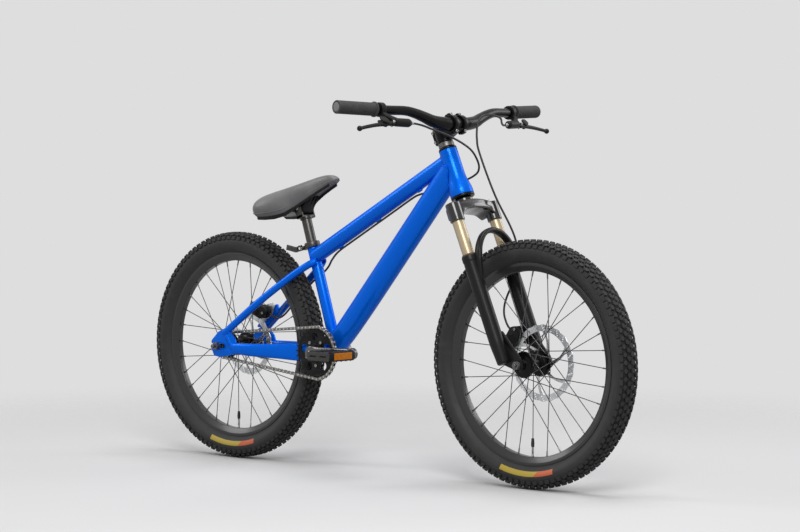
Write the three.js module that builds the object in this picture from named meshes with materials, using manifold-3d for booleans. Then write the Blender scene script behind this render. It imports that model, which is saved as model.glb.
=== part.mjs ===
// A 22-inch dirt jump bike with a suspension fork, disc brakes and a single-speed drive.
// Millimetres, +X forward, +Y to the bike's left, +Z up.
// The origin is on the ground, midway between the two axles.
import * as THREE from "three";
import { mergeVertices } from "three/addons/utils/BufferGeometryUtils.js";
import Module from "manifold-3d";

const wasm = await Module();
wasm.setup();

// Clearances
const seatGap = 0.3; // between pieces that are pressed or bolted together
const runningGap = 0.6; // around pieces that turn or slide
const overrun = 6; // how far a cutter passes a face
const weldDistance = 0.001; // vertices nearer than this are one vertex

// Counts of flat sides on round pieces
const wheelSides = 26;
const roundSides = 10;
const smallSides = 8;
const nutSides = 6;
const frameTubeSides = 10;
const frameTubeSquareness = 0.8;

// Tyres and rims
const wheelbase = 961.6;
const tyreRadius = 288;
const tyreWidth = 58;
const tyreWall = 4;
const rimFlangeRadius = 235;
const rimWidth = 29;
const rimFlangeWall = 2;
const beadSeatRadius = 228.5;
const rimWellRadius = 224;
const rimWellWidth = 12;
const rimInnerRadius = 214.6;
const rimInnerWidth = 16;
// Up from the rim flange, as a share of the tyre's height, and out, as a share of half its width
const tyreOuterShares = [[0.09, 0.6], [0.36, 0.96], [0.68, 0.97], [0.92, 0.7], [1, 0.26]];
const tyreInnerShares = [[1, 0.3], [0.6, 0.97], [0.12, 0.66]];

// Spokes and hubs
const spokesPerSide = 16;
const spokeCrosses = 3;
const spokeRadius = 1.1;
const spokeSplay = 1.7; // from the middle of the flange to the spokes on its faces
const spokeSides = 3;
const hubFlangeRadius = 31;
const hubFlangeThickness = 4;
const hubBarrelRadius = 16;
const hubEndRadius = 12;
const leftFlangeY = 27;
const rightFlangeY = -33;
const rearRightFlangeY = -30;
const axleRadius = 4.8;
const locknutRadius = 9;
const axleNutRadius = 10.5;
const frontHubWidth = 100; // between the fork ends
const rearHubWidth = 135; // between the rear dropouts
const hubShellSetback = 5; // from a fork end to the hub shell
const frontAxleLength = 144;
const rearAxleLength = 192;
const frontAxleNutThickness = 8;
const rearAxleNutThickness = 12;
const rearShellRight = -35;
const rearShellLeft = 45;

// Disc brakes
const rotorY = 38;
const rotorThickness = 2;
const frontRotorRadius = 90;
const rearRotorRadius = 80;
const rotorBandWidth = 16;
const rotorHubRadius = 22;
const rotorBoreRadius = 17;
const rotorArmCount = 6;
const rotorArmWidth = 9;
const rotorArmLean = 0.5; // radians that an arm turns from the hub to the band
const caliperWidth = 24; // across the rotor
const caliperLength = 58;
const caliperDepth = 34;
const caliperOuterY = 50;
const caliperSlotDepth = 19;
const caliperSlotWidth = 5;
const frontCaliperReach = 102.6; // from the axle to the middle of the caliper
const rearCaliperReach = 96;
const frontCaliperAngle = 124; // degrees above the fork's forward direction
const rearCaliperAngle = 26.07; // degrees above the seatstay
const caliperChamferShare = 0.32;
const adapterThickness = 4;
const brakeTabThickness = 9;

// Steering axis and head tube
const headAngle = 67;
const forkOffset = 45; // axle ahead of the steering axis
const axleToHeadTube = 438; // along the steering axis
const headTubeLength = 116.6;
const headTubeTopRadius = 22;
const headTubeBottomRadius = 28.5;
const headTubeBoreRadius = 18.6;
const headTubeLowerBoreRadius = 24.6;
const headTubeLowerBoreDepth = 14;
const headTubeFlareLength = 46;
const headsetLipHeight = 6;
const headsetPressDepth = 9;
const steererRadius = 14.3;
const steererBore = 11.5;
const spacerRadius = 19;
const stemBottomAboveHead = 19;

// Fork
const forkLegSpacing = 136; // between the leg axes
const legOffset = 17; // leg axes ahead of the steering axis
const stanchionRadius = 14;
const stanchionWall = 2;
const socketRadius = 17.6;
const socketBottom = 367; // heights in the fork are measured along the steering axis from the axle
const socketTop = 412.5;
const socketRoof = 3;
const crownBossRadius = 21;
// Out from the middle, as a share of half the leg spacing, and up from the sockets' mouths to the crown's top
const crownShares = [
  [-0.91, 0.14], [-0.59, 0.39], [0, 0.45], [0.59, 0.39], [0.91, 0.14],
  [0.91, 0.67], [0.44, 0.79], [0, 0.82], [-0.44, 0.79], [-0.91, 0.67],
];
const crownBossShare = 0.46;
const crownFront = 33;
const crownBack = -15;
const stanchionBottom = 152;
const legRadius = 17.6;
const legFootRadius = 15;
const legCollarRadius = 18.6;
const legCollarHeight = 13;
const legTop = 280.5;
const legBottom = 14;
const legBoreBottom = 60;
const archWidth = 22;
const archThickness = 11;
const archFootDepth = 37.5; // below the leg tops
const archTop = 331;
const archForward = 49; // ahead of the steering axis
// Forward from the leg axes, out to them, and up from the feet to the top
const archShares = [[0.31, 0.985, 0], [0.66, 0.956, 0.284], [0.875, 0.81, 0.625], [0.97, 0.47, 0.9],
  [1, 0, 1]];
// Forward from the steering axis as shares of the offset, and up as shares of the dropout's height
const forkDropoutHeight = 90;
const forkDropoutShares = [[0.07, 0.2], [0.07, 0.93], [0.69, 1], [1.3, 0.06], [0.75, -0.09]];
const lugSpacing = 28;
const lugHeight = 10;
const dropoutThickness = 8;
const forkBossRadius = 14;
const knobRadius = 11;
const knobHeight = 8;
const knobStemRadius = 5;
const knobEdgeShare = 0.8;
const archSquareness = 0.7;

// Frame tubes
const topTubeHeight = 37;
const topTubeWidth = 36;
const downTubeHeight = 58;
const downTubeWidth = 50;
const frameWall = 2.4;
const topTubeJoin = 22.8; // below the head tube's top, along the steering axis
const downTubeJoin = 46.1;
const seatTubeAngle = 72.3;
const seatTubeRadius = 14.3;
const seatTubeTopHeight = 550.7; // above the ground
const seatTubeAhead = 28.9; // seat tube axis ahead of the crank axis, at the crank's height
const topTubeBelowSeatTop = 34.3; // along the seat tube
const downTubeAhead = 14.4; // down tube axis ahead of the crank axis, at the crank's height
const crankHeight = 284;
const shellRadius = 20.5;
const shellWidth = 73;
const shellBore = 17;
const cartridgeLip = 4;
const downTubeTaperShare = 0.84;
const cableGuideShares = [0.24, 0.54, 0.82];
const cableGuideLength = 16;
const cableGuideWidth = 9;
const cableGuideDrop = 2.6;

// Stays and dropouts
const chainstayRearHeight = 27;
const chainstayFrontHeight = 42;
const chainstayRearWidth = 15;
const chainstayFrontWidth = 9;
const seatstayDiameter = 18;
const rearDropoutThickness = 7;
// Around the rear axle, as shares of the dropout's reach
const rearDropoutShares = [
  [-0.33, -0.1], [-0.33, 0.18], [0.02, 0.5], [0.4, 0.66], [0.8, 0.3],
  [0.86, 0.12], [0.86, -0.26], [0.1, -0.4], [-0.2, -0.36],
];
const braceShares = [[0.34, 0.45], [0.72, -0.05]];
// Along the seatstay from the rear axle and above it, as shares of the dropout's reach
const brakeTabShares = [
  [0.492, 0.347], [1.188, 0.521], [1.79, 0.372], [1.695, 0.089], [0.744, 0.102],
];
const adapterShares = [
  [0.78, 0.453], [1.302, 0.665], [1.673, 0.545], [1.76, 0.339], [1.404, 0.183], [0.963, 0.205],
];
// Along from the rear axle to the crank, up as a share of the dropout's reach, and out as a share of its
// place
const chainstayShares = [
  [0.17, -0.05, 1], [0.36, -0.06, 0.95], [0.6, -0.05, 0.72], [0.76, -0.05, 0.545], [0.98, -0.05, 0.48],
];
// Along and up from the rear axle to the top tube's tail, and out
const seatstayShares = [
  [0.087, 0.148, 1.01], [0.459, 0.482, 0.82], [0.811, 0.773, 0.563], [0.985, 0.908, 0.35], [1.04, 0.95, 0.2],
];
const staySquareness = 0.7;
const rearDropoutReach = 72;
const braceDiameter = 12;
const axleSlotLength = 24;

// Seat
const collarRadius = 19.5;
const collarHeight = 14;
const collarAboveTube = 3.5;
const collarEarLength = 13;
const collarEarWidth = 16;
const collarEarHeight = 10;
const collarSlotWidth = 2;
const clampPinRadius = 3;
const clampPinLength = 34;
const clampTrunnionRadius = 2.5;
const clampNutRadius = 5;
const clampLeverLength = 42;
const clampLeverRise = 15; // the lever's tip stands above its pin
const clampLeverWidth = 13;
const clampLeverThickness = 6;
const clampLeverForkDepth = 9;
const seatpostRadius = 12.7;
const seatpostInsertion = 179;
const seatpostExposed = 70.8;
const postHeadRadius = 15.5;
const postHeadHeight = 8;
const postEarThickness = 5;
const postEarRadius = 11;
const postBoltRadius = 4;
const saddlePivotRise = 23; // pivot above the seatpost's head
const keelWidth = 18;
const keelRadius = 19;
const keelLength = 32;
const keelArc = 50; // degrees each way from straight down
const keelSteps = 4;
const saddleHousingWidth = 36;
const saddleTilt = 16; // nose up, degrees
const saddleTiltRange = 10; // degrees each way
const saddleLength = 262;
const saddleHalfWidth = 66;
const saddleNoseX = 130; // nose tip ahead of the pivot
const saddleTopHeight = 60; // above the pivot
const saddlePadDepth = 68;
// Each station: from the tail, as a share of the length; half width, as a share; top and bottom edge,
// as shares of the pad's depth down from the saddle's top; and the hollow's height as a share of the
// section's
const saddleShares = [
  [0, 0.5, 0.26, 0.57, 0.04], [0.023, 0.82, 0.12, 0.71, 0.04], [0.076, 0.96, 0.045, 0.82, 0.45],
  [0.16, 1, 0, 0.91, 0.45], [0.275, 0.96, 0, 1, 0.45], [0.39, 0.77, 0.007, 1, 0.45],
  [0.504, 0.55, 0.007, 0.85, 0.45], [0.62, 0.41, 0.007, 0.71, 0.45], [0.733, 0.34, 0.015, 0.6, 0.4],
  [0.847, 0.3, 0.03, 0.51, 0.4], [0.93, 0.27, 0.09, 0.456, 0.3], [0.977, 0.21, 0.19, 0.41, 0.06],
  [1, 0.11, 0.28, 0.37, 0.06],
];
// Half of the pad's section: out as a share of the half width, and down as a share of the section's height
const padSectionShares = [[0, 0], [0.36, 0.015], [0.64, 0.075], [0.85, 0.22], [0.97, 0.43], [1, 0.63],
  [0.96, 0.83], [0.86, 1]];
const baseInset = 2; // stations at each end that the base stops short of
const padHollowShares = [0.76, 0.68]; // half width of the hollow at its mouth and at its ceiling
const saddlePlugGap = 2;
const saddleRimGap = 0.6;
const saddleRimShare = 0.84;
const saddleRimDepth = 5;

// Handlebar, stem and grips
const barHalfWidth = 359;
const barClampRadius = 15.9;
const barEndRadius = 11.1;
const barWall = 2.4;
const barSides = 8;
const barRise = 50.6; // along the steering axis, from the clamp to the ends
const barSetback = 29.6;
const stemReach = 45.8;
const stemHeight = 43;
const stemTopGap = 3; // from the steerer's end to the stem's top
const topCapThickness = 4;
const barAboveHead = 48.1;
const stemClampRadius = 18.6;
const stemWidth = 34;
const stemBarClampWidth = 46;
const stemBarClampRadius = 21.5;
const stemBoltEarHeight = 4.5;
const stemBoltEarDepth = 8;
const stemPinchDepth = 9;
const stemPinchWidth = 18;
const stemSlotWidth = 1.6;
const faceplateBandWidth = 14;
const faceplateWindowShare = 0.75;
const stemSquareness = 0.6;
// Shares of half the width, of the rise and of the setback, and the radius as a share between clamp and end
const barShares = [
  [0, 0, 0, 0], [0.11, 0, 0, 0], [0.207, 0.123, 0.064, 0.25], [0.29, 0.338, 0.063, 0.6],
  [0.373, 0.534, 0.075, 0.85], [0.456, 0.658, 0.142, 1], [0.6, 0.725, 0.362, 1], [1, 1, 1, 1],
];
const gripLength = 112;
const gripRadius = 15.5;
const gripFlangeRadius = 18;
const gripFlangeWidth = 4;
const gripCapThickness = 3;

// Brake levers, in a frame on the handlebar that looks forward and down
const leverInset = 12; // from the grip's length to the middle of the lever's clamp
const leverStation = barHalfWidth - gripLength - leverInset; // from the middle of the handlebar
const leverDroop = 65; // degrees below the fork's forward direction
const leverClampWidth = 13;
const leverClampRadius = 17;
const brakeWebHeight = 14;
const cylinderRadius = 10;
const cylinderLength = 48;
const cylinderForward = 42;
const leverPivotForward = 47;
const leverPivotIn = 10; // inboard of the clamp
const leverRootRadius = 6;
const leverThickness = 7;
const leverEarThickness = 3.6;
const leverPinRadius = 2.6;
const leverTipForward = 68;
const leverTipOut = 97;
const leverTipDrop = 3;
const leverTipRadius = 6.5;
const leverBladeShare = 0.75;
const leverSquareness = 0.7;
// Out and forward along the blade, and its width as a share of the root's diameter
const leverShares = [[0, 0, 0.9], [0.2, 0.12, 0.8], [0.5, 0.36, 0.7], [0.8, 0.72, 0.66], [1, 1, 0.66]];

// Cranks, chain and pedals
const chainPitch = 12.7;
const chainLinks = 74;
const chainringTeeth = 32;
const cogTeeth = 16;
const chainlineY = -46;
const chainPinRadius = 3.6;
const chainPinEvery = 2; // every second pin is modelled
const rollerSides = 4;
const toothRootDepth = 4.25;
const toothTopHeight = 2.8;
const toothRootHalf = 3.4;
const toothTopHalf = 0.9;
const toothThickness = 3;
const chainInnerWidth = 5;
const chainPlateThickness = 2;
const chainPlateHalfHeight = 4.2;
const chainringBore = 15;
const chainringShoulderRadius = 20;
const chainringHoleCircle = 39;
const chainringHoleRadius = 12.5;
const chainringHoles = 5;
const driverRadius = 17;
const driverEndY = -59;
const crankLength = 152;
const crankTilt = 2.7; // degrees that the forward crank points up
const spindleRadius = 9.5;
const spindleCap = 4; // crank arm left outside the spindle's end
const crankBossRadius = 18;
const crankPedalBossRadius = 14;
const crankInnerY = 53;
const crankBossWidth = 15;
const crankBendShare = 0.45;
const crankFlare = 20; // how far the pedal end stands out past the spindle end
const crankEndWidth = 14;
const crankArmHeight = 27;
const crankRootHeight = 32;
const pedalAxleRadius = 5;
const pedalCentreY = 152;
const pedalEndWall = 5;
const pedalLength = 76;
const pedalWidth = 92;
const pedalHeight = 24;
const pedalBarWidth = 9;
const pedalCoreWidth = 20;

// Hoses
const hoseRadius = 2.5;
const hoseSides = 8;
const rearHoseSteps = 43;
const frontHoseSteps = 27;
// Each route in legs. By a lever: ahead of the steering axis, inboard of the lever, and height
const rearHoseByLever = [
  [57.94, 65.8, 596.35], [59.07, 75.5, 595.44], [62.44, 95, 589.55],
];
// Ahead of the steering axis, left of it, and height
const rearHoseBySteerer = [
  [64.91, -112, 578.73], [65.35, -66, 564.42], [60.5, -14, 545.29], [53.27, 20, 528.26],
  [41.53, 43, 504.46], [29.44, 50, 490.04], [12.98, 50, 484.53],
];
// Share of the way down the top tube, left of it, and below its middle
const rearHoseByTopTube = [
  [0.0275, 46.5, 47.06], [0.0764, 39, 42.12], [0.1337, 32.5, 36.58], [0.1826, 29.5, 31.65],
  [0.2201, 20, 28.72], [0.2569, 5, 25.08], [0.2965, 0, 24.08], [0.414, 0, 24.04], [0.5632, 0, 24.05],
  [0.7124, 0, 24.05], [0.8437, 1, 24.21],
];
// Shares forwards and upwards from the rear axle to the top tube's tail, with the left in the middle
const rearHoseByStay = [
  [1.188, 8, 0.9782], [1.0991, 20.5, 0.8977], [1.0177, 26.5, 0.8325], [0.9214, 32, 0.7717],
  [0.8103, 39, 0.6978], [0.6547, 47, 0.5652], [0.5214, 50, 0.4391],
];
// Along the seatstay from the rear axle, left of it, and above it
const rearHoseByBrake = [
  [137.32, 48, -15.83], [116.59, 46, -9.33], [106.15, 45.4, 5.87], [100.97, 45.3, 16.45],
];
const frontHoseByLever = [
  [57.94, 65.8, 596.35], [59.15, 75.5, 595.62], [67.54, 90, 597.71],
];
const frontHoseBySteerer = [
  [83.21, 126, 601.38], [88.12, 108, 605.27], [85.81, 84, 610.05], [79.64, 63, 608.32],
  [70.37, 52, 595.42], [63.93, 46, 576.43], [58.6, 43.5, 556.96], [52.65, 45, 534.5], [48.29, 52, 472.26],
  [44.31, 64, 410.18], [43.08, 83, 343.02], [38.35, 92, 303.74], [29.28, 93, 269.57], [14.8, 92, 243.13],
  [-2.45, 86, 217.86], [-18.91, 74, 194.43], [-27.9, 62, 173.26], [-29.66, 51, 151.19],
  [-27.49, 45.5, 130.71], [-22.7, 42.5, 114.34], [-15.56, 42, 104.03],
];

const finishes = {
  frameBlue: new THREE.MeshStandardMaterial({ color: 0x0a4fd0, roughness: 0.28, metalness: 0.55 }),
  blackPaint: new THREE.MeshStandardMaterial({ color: 0x1b1b1d, roughness: 0.42, metalness: 0.3 }),
  matteBlack: new THREE.MeshStandardMaterial({ color: 0x242426, roughness: 0.6, metalness: 0.1 }),
  rubber: new THREE.MeshStandardMaterial({ color: 0x1c1c1c, roughness: 0.85, metalness: 0 }),
  grip: new THREE.MeshStandardMaterial({ color: 0x2b2b2c, roughness: 0.8, metalness: 0 }),
  vinyl: new THREE.MeshStandardMaterial({ color: 0x3c3c3e, roughness: 0.55, metalness: 0 }),
  gold: new THREE.MeshStandardMaterial({ color: 0xc9b483, roughness: 0.22, metalness: 0.9 }),
  silver: new THREE.MeshStandardMaterial({ color: 0xc9cbcd, roughness: 0.3, metalness: 0.95 }),
  gunmetal: new THREE.MeshStandardMaterial({ color: 0x6c6a68, roughness: 0.35, metalness: 0.9 }),
  steel: new THREE.MeshStandardMaterial({ color: 0x8d8c88, roughness: 0.35, metalness: 0.9 }),
  plastic: new THREE.MeshStandardMaterial({ color: 0x161617, roughness: 0.5, metalness: 0 }),
};

// Places worked out from the driving dimensions
const radians = THREE.MathUtils.degToRad;
const wheelCentreHeight = tyreRadius;
const rearAxleX = -wheelbase / 2;
const frontAxleX = wheelbase / 2;
const steeringLean = -radians(90 - headAngle);
const seatLean = -radians(90 - seatTubeAngle);
const headForward = [Math.cos(steeringLean), 0, -Math.sin(steeringLean)];
const headUp = [Math.sin(steeringLean), 0, Math.cos(steeringLean)];
const headTubeTop = axleToHeadTube + headTubeLength;
const steeringFoot = [
  frontAxleX - forkOffset * headForward[0], 0, wheelCentreHeight - forkOffset * headForward[2],
];

function onSteeringAxis(height, forward = 0, side = 0) {
  const x = steeringFoot[0] + height * headUp[0] + forward * headForward[0];
  return [x, side, steeringFoot[2] + height * headUp[2] + forward * headForward[2]];
}

// Distance between the crank and rear wheel axes that the whole number of links asks for
function chainCentreDistance() {
  const straightLinks = chainLinks - (chainringTeeth + cogTeeth) / 2;
  const toothShare = (chainringTeeth - cogTeeth) / (2 * Math.PI);
  return (chainPitch / 4) * (straightLinks + Math.sqrt(straightLinks ** 2 - 8 * toothShare ** 2));
}

const crankDrop = crankHeight - wheelCentreHeight;
const crankX = rearAxleX + Math.sqrt(chainCentreDistance() ** 2 - crankDrop ** 2);
const seatUp = [Math.sin(seatLean), 0, Math.cos(seatLean)];
const seatAxisFoot = [crankX + seatTubeAhead, 0, crankHeight];
const seatTubeLength = (seatTubeTopHeight - crankHeight) / seatUp[2];

function onSeatAxis(height) {
  return [seatAxisFoot[0] + height * seatUp[0], 0, seatAxisFoot[2] + height * seatUp[2]];
}

function pitchRadius(teeth) {
  return chainPitch / (2 * Math.sin(Math.PI / teeth));
}

// A closed geometry as a solid that can be joined and cut
function solidOf(geometry) {
  const bare = geometry.clone();
  bare.deleteAttribute("normal");
  bare.deleteAttribute("uv");
  const merged = mergeVertices(bare, weldDistance);
  const vertProperties = merged.attributes.position.array;
  const triVerts = new Uint32Array(merged.index.array);
  return new wasm.Manifold(new wasm.Mesh({ numProp: 3, vertProperties, triVerts }));
}

function geometryOf(solid) {
  const mesh = solid.getMesh();
  const geometry = new THREE.BufferGeometry();
  geometry.setAttribute("position", new THREE.BufferAttribute(new Float32Array(mesh.vertProperties), 3));
  geometry.setIndex(new THREE.BufferAttribute(new Uint32Array(mesh.triVerts), 1));
  geometry.computeVertexNormals();
  return geometry;
}

function join(first, ...others) {
  return others.reduce((whole, piece) => whole.add(piece), first);
}

function cut(whole, ...cutters) {
  return cutters.reduce((left, cutter) => left.subtract(cutter), whole);
}

// Points and triangles, turned outwards if they face inwards
function meshSolid(points, triangles) {
  const build = (faces) => {
    const geometry = new THREE.BufferGeometry().setFromPoints(points);
    geometry.setIndex(faces.flat());
    return solidOf(geometry);
  };
  const solid = build(triangles);
  return solid.volume() > 0 ? solid : build(triangles.map(([a, b, c]) => [a, c, b]));
}

// The same solid on the bike's other side
function mirrored(solid) {
  const geometry = geometryOf(solid);
  const points = [];
  const position = geometry.attributes.position;
  for (let i = 0; i < position.count; i++) {
    points.push(new THREE.Vector3(position.getX(i), -position.getY(i), position.getZ(i)));
  }
  const triangles = [];
  for (let i = 0; i < geometry.index.count; i += 3) {
    triangles.push([geometry.index.getX(i), geometry.index.getX(i + 2), geometry.index.getX(i + 1)]);
  }
  return meshSolid(points, triangles);
}

function moved(solid, matrix) {
  return solidOf(geometryOf(solid).applyMatrix4(matrix));
}

// The radius at the corners of a polygon whose flat sides lie at the given radius
function cornerRadius(radius, sides) {
  return radius / Math.cos(Math.PI / sides);
}

// A profile of [radius, y] pairs turned about the Y axis
function turned(profile, sides = roundSides) {
  const ring = profile[0][0] > 0 ? [...profile, profile[0]] : profile;
  const points = ring.map(([radius, y]) => new THREE.Vector2(radius, y));
  if (THREE.ShapeUtils.area(points) < 0) points.reverse();
  return solidOf(new THREE.LatheGeometry(points, sides, Math.PI / sides));
}

// The same, with the axis stood up along Z
function turnedUpright(profile, sides = roundSides) {
  return moved(turned(profile, sides), new THREE.Matrix4().makeRotationX(Math.PI / 2));
}

function rod(from, to, radius, sides = roundSides, endRadius = radius) {
  const start = new THREE.Vector3(...from);
  const along = new THREE.Vector3(...to).sub(start);
  const length = along.length();
  const geometry = new THREE.CylinderGeometry(endRadius, radius, length, sides, 1, false, Math.PI / sides);
  geometry.translate(0, length / 2, 0);
  geometry.applyQuaternion(new THREE.Quaternion().setFromUnitVectors(new THREE.Vector3(0, 1, 0),
    along.normalize()));
  geometry.translate(start.x, start.y, start.z);
  return solidOf(geometry);
}

// A bar across the bike from one side to the other
function crossRod(x, z, fromY, toY, radius, sides = roundSides) {
  return rod([x, fromY, z], [x, toY, z], radius, sides);
}

function block(low, high) {
  const size = high.map((value, i) => value - low[i]);
  const geometry = new THREE.BoxGeometry(...size);
  geometry.translate(...low.map((value, i) => value + size[i] / 2));
  return solidOf(geometry);
}

// An outline of [x, z] points, as thick as the span of y
function plate(outline, fromY, toY, holes = []) {
  const rim = outline.map(([x, z]) => new THREE.Vector2(x, z));
  if (THREE.ShapeUtils.area(rim) < 0) rim.reverse();
  const shape = new THREE.Shape(rim);
  shape.holes = holes.map((hole) => new THREE.Path(hole.map(([x, z]) => new THREE.Vector2(x, z))));
  const geometry = new THREE.ExtrudeGeometry(shape, { depth: toY - fromY, bevelEnabled: false });
  geometry.rotateX(Math.PI / 2);
  geometry.translate(0, toY, 0);
  return solidOf(geometry);
}

function circlePoints(x, z, radius, sides) {
  return Array.from({ length: sides }, (_, i) => {
    const angle = (2 * Math.PI * (i + 0.5)) / sides;
    return [x + radius * Math.sin(angle), z + radius * Math.cos(angle)];
  });
}

// The flat end of a skinned form
function capTriangles(ring, first, turnOver) {
  const normal = new THREE.Vector3();
  ring.forEach((point, i) => normal.add(point.clone().cross(ring[(i + 1) % ring.length])));
  const across = ring[1].clone().sub(ring[0]).normalize();
  const up = normal.normalize().clone().cross(across);
  const flat = ring.map((point) => {
    const arm = point.clone().sub(ring[0]);
    return new THREE.Vector2(arm.dot(across), arm.dot(up));
  });
  const faces = THREE.ShapeUtils.triangulateShape(flat, []);
  return faces.map(([i, j, k]) => (turnOver ? [first + i, first + k, first + j] : [first + i, first + j,
    first + k]));
}

// Rings of equally many points, skinned and closed at both ends
function skin(rings) {
  const sides = rings[0].length;
  const lastRing = (rings.length - 1) * sides;
  const triangles = [...capTriangles(rings[0], 0, true),
    ...capTriangles(rings[rings.length - 1], lastRing, false)];
  for (let k = 0; k < sides; k++) {
    const next = (k + 1) % sides;
    for (let low = 0; low < lastRing; low += sides) {
      const high = low + sides;
      triangles.push([low + k, low + next, high + next], [low + k, high + next, high + k]);
    }
  }
  return meshSolid(rings.flat(), triangles);
}

// A bar through stations of [point, width, height]; the width lies along the side direction.
// Squareness runs from 1, an oval, towards 0, a rectangle.
function bar(stations, side = [0, 1, 0], sides = smallSides, squareness = 1) {
  const centres = stations.map(([point]) => new THREE.Vector3(...point));
  const rings = stations.map(([, width, height], i) => {
    const before = centres[Math.max(i - 1, 0)];
    const after = centres[Math.min(i + 1, centres.length - 1)];
    const along = after.clone().sub(before).normalize();
    const across = new THREE.Vector3(...side);
    across.addScaledVector(along, -across.dot(along)).normalize();
    const upward = along.clone().cross(across).multiplyScalar(height / 2);
    across.multiplyScalar(width / 2);
    return Array.from({ length: sides }, (_, k) => {
      const angle = (2 * Math.PI * (k + 0.5)) / sides;
      const wide = Math.sign(Math.cos(angle)) * Math.abs(Math.cos(angle)) ** squareness;
      const tall = Math.sign(Math.sin(angle)) * Math.abs(Math.sin(angle)) ** squareness;
      return centres[i].clone().addScaledVector(across, wide).addScaledVector(upward, tall);
    });
  });
  return skin(rings);
}

// Between two numbers
function blend(from, to, share) {
  return from + (to - from) * share;
}

function pointBetween(from, to, share) {
  return from.map((value, i) => blend(value, to[i], share));
}

// A frame tube through stations of [point, width, height]: hollow with open ends, or, where it is
// grown by a gap, solid, to cut its neighbours with
function frameTube(stations, grow = 0) {
  const sized = (extra) => stations.map(([point, width, height]) => [point, width + extra, height + extra]);
  const outside = bar(sized(2 * grow), [0, 1, 0], frameTubeSides, frameTubeSquareness);
  if (grow > 0) return outside;
  const inside = sized(-2 * frameWall);
  const lengthen = (end, before) => {
    const from = new THREE.Vector3(...before[0]);
    const away = new THREE.Vector3(...end[0]).sub(from);
    return [from.addScaledVector(away, 1 + overrun / away.length()).toArray(), end[1], end[2]];
  };
  const first = lengthen(inside[0], inside[1]);
  const last = lengthen(inside[inside.length - 1], inside[inside.length - 2]);
  const middle = inside.slice(1, -1);
  return cut(outside, bar([first, ...middle, last], [0, 1, 0], frameTubeSides, frameTubeSquareness));
}

function hoseSolid(route, steps) {
  const circle = circlePoints(0, 0, hoseRadius, hoseSides);
  const section = new THREE.Shape(circle.map(([x, y]) => new THREE.Vector2(x, y)));
  const path = new THREE.CatmullRomCurve3(route.map((point) => new THREE.Vector3(...point)));
  return solidOf(new THREE.ExtrudeGeometry(section, { steps, extrudePath: path, bevelEnabled: false }));
}

function addPiece(group, name, solid, finish) {
  const mesh = new THREE.Mesh(geometryOf(solid), finish.clone());
  mesh.name = name;
  group.add(mesh);
}

// Wheels: each is built about its own axle, in the middle of the bike

// Tyre: a casing open at the rim, with a narrow flat tread in the middle
function tyreSolid() {
  const bead = beadSeatRadius + seatGap;
  const foot = rimFlangeRadius + seatGap;
  const beadHalf = rimWidth / 2 - rimFlangeWall - seatGap;
  const height = tyreRadius - foot;
  const halfWidth = tyreWidth / 2;
  const outside = tyreOuterShares.map(([up, out]) => [foot + up * height, out * halfWidth]);
  const inside = tyreInnerShares.map(([up, out]) => [foot + up * (height - tyreWall),
    out * (halfWidth - tyreWall)]);
  const half = [[bead, beadHalf], [foot, beadHalf], ...outside];
  const innerHalf = [...inside, [bead, beadHalf - tyreWall]];
  const turnOver = (points) => points.map(([radius, y]) => [radius, -y]).reverse();
  const profile = [...half, ...turnOver(half), ...turnOver(innerHalf), ...innerHalf];
  return turned(profile.map(([radius, y]) => [cornerRadius(radius, wheelSides), y]), wheelSides);
}

function rimSolid() {
  const half = rimWidth / 2;
  const right = [
    [rimInnerRadius, rimInnerWidth / 2],
    [beadSeatRadius, half],
    [rimFlangeRadius, half],
    [rimFlangeRadius, half - rimFlangeWall],
    [beadSeatRadius, half - rimFlangeWall],
    [rimWellRadius, rimWellWidth / 2],
  ];
  const left = right.map(([radius, y]) => [radius, -y]).reverse();
  return turned([...right, ...left].map(([radius, y]) => [cornerRadius(radius, wheelSides), y]), wheelSides);
}

// All the spokes of one flange: every second one leans forwards and lies on the flange's outer face,
// the others lean back on its inner face, and a thin ring round the flange holds their ends
function spokeSet(flangeY, phase) {
  const ringInner = hubFlangeRadius + seatGap;
  const hubRadius = ringInner + spokeRadius;
  const rimRadius = rimInnerRadius - seatGap;
  const pitch = (2 * Math.PI) / spokesPerSide;
  const spokes = Array.from({ length: spokesPerSide }, (_, i) => {
    const turn = i % 2 ? -1 : 1;
    const rimAngle = (i + phase) * pitch;
    const hubAngle = rimAngle + turn * spokeCrosses * pitch;
    const hole = hubFlangeRadius - 2 * spokeRadius;
    const rimEnd = new THREE.Vector3(Math.cos(rimAngle) * rimRadius, 0, Math.sin(rimAngle) * rimRadius);
    const hubHole = new THREE.Vector3(Math.cos(hubAngle) * hole, flangeY + turn * spokeSplay,
      Math.sin(hubAngle) * hole);
    // Walk in from the rim until the spoke reaches the edge of the flange
    const along = hubHole.clone().sub(rimEnd);
    const flatSquare = along.x ** 2 + along.z ** 2;
    const flatDot = rimEnd.x * along.x + rimEnd.z * along.z;
    const reach = flatDot ** 2 - flatSquare * (rimRadius ** 2 - hubRadius ** 2);
    const share = (-flatDot - Math.sqrt(Math.max(reach, 0))) / flatSquare;
    const hubEnd = rimEnd.clone().addScaledVector(along, share);
    return rod(hubEnd.toArray(), rimEnd.toArray(), spokeRadius, spokeSides);
  });
  const half = spokeSplay + spokeRadius + seatGap;
  const inner = circlePoints(0, 0, cornerRadius(ringInner, spokesPerSide), spokesPerSide);
  const outer = circlePoints(0, 0, cornerRadius(ringInner + 2 * spokeRadius, spokesPerSide), spokesPerSide);
  return join(plate(outer, flangeY - half, flangeY + half, [inner]), ...spokes);
}

function boreOf(radius, sides = roundSides) {
  return cornerRadius(radius + runningGap, sides);
}

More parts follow.
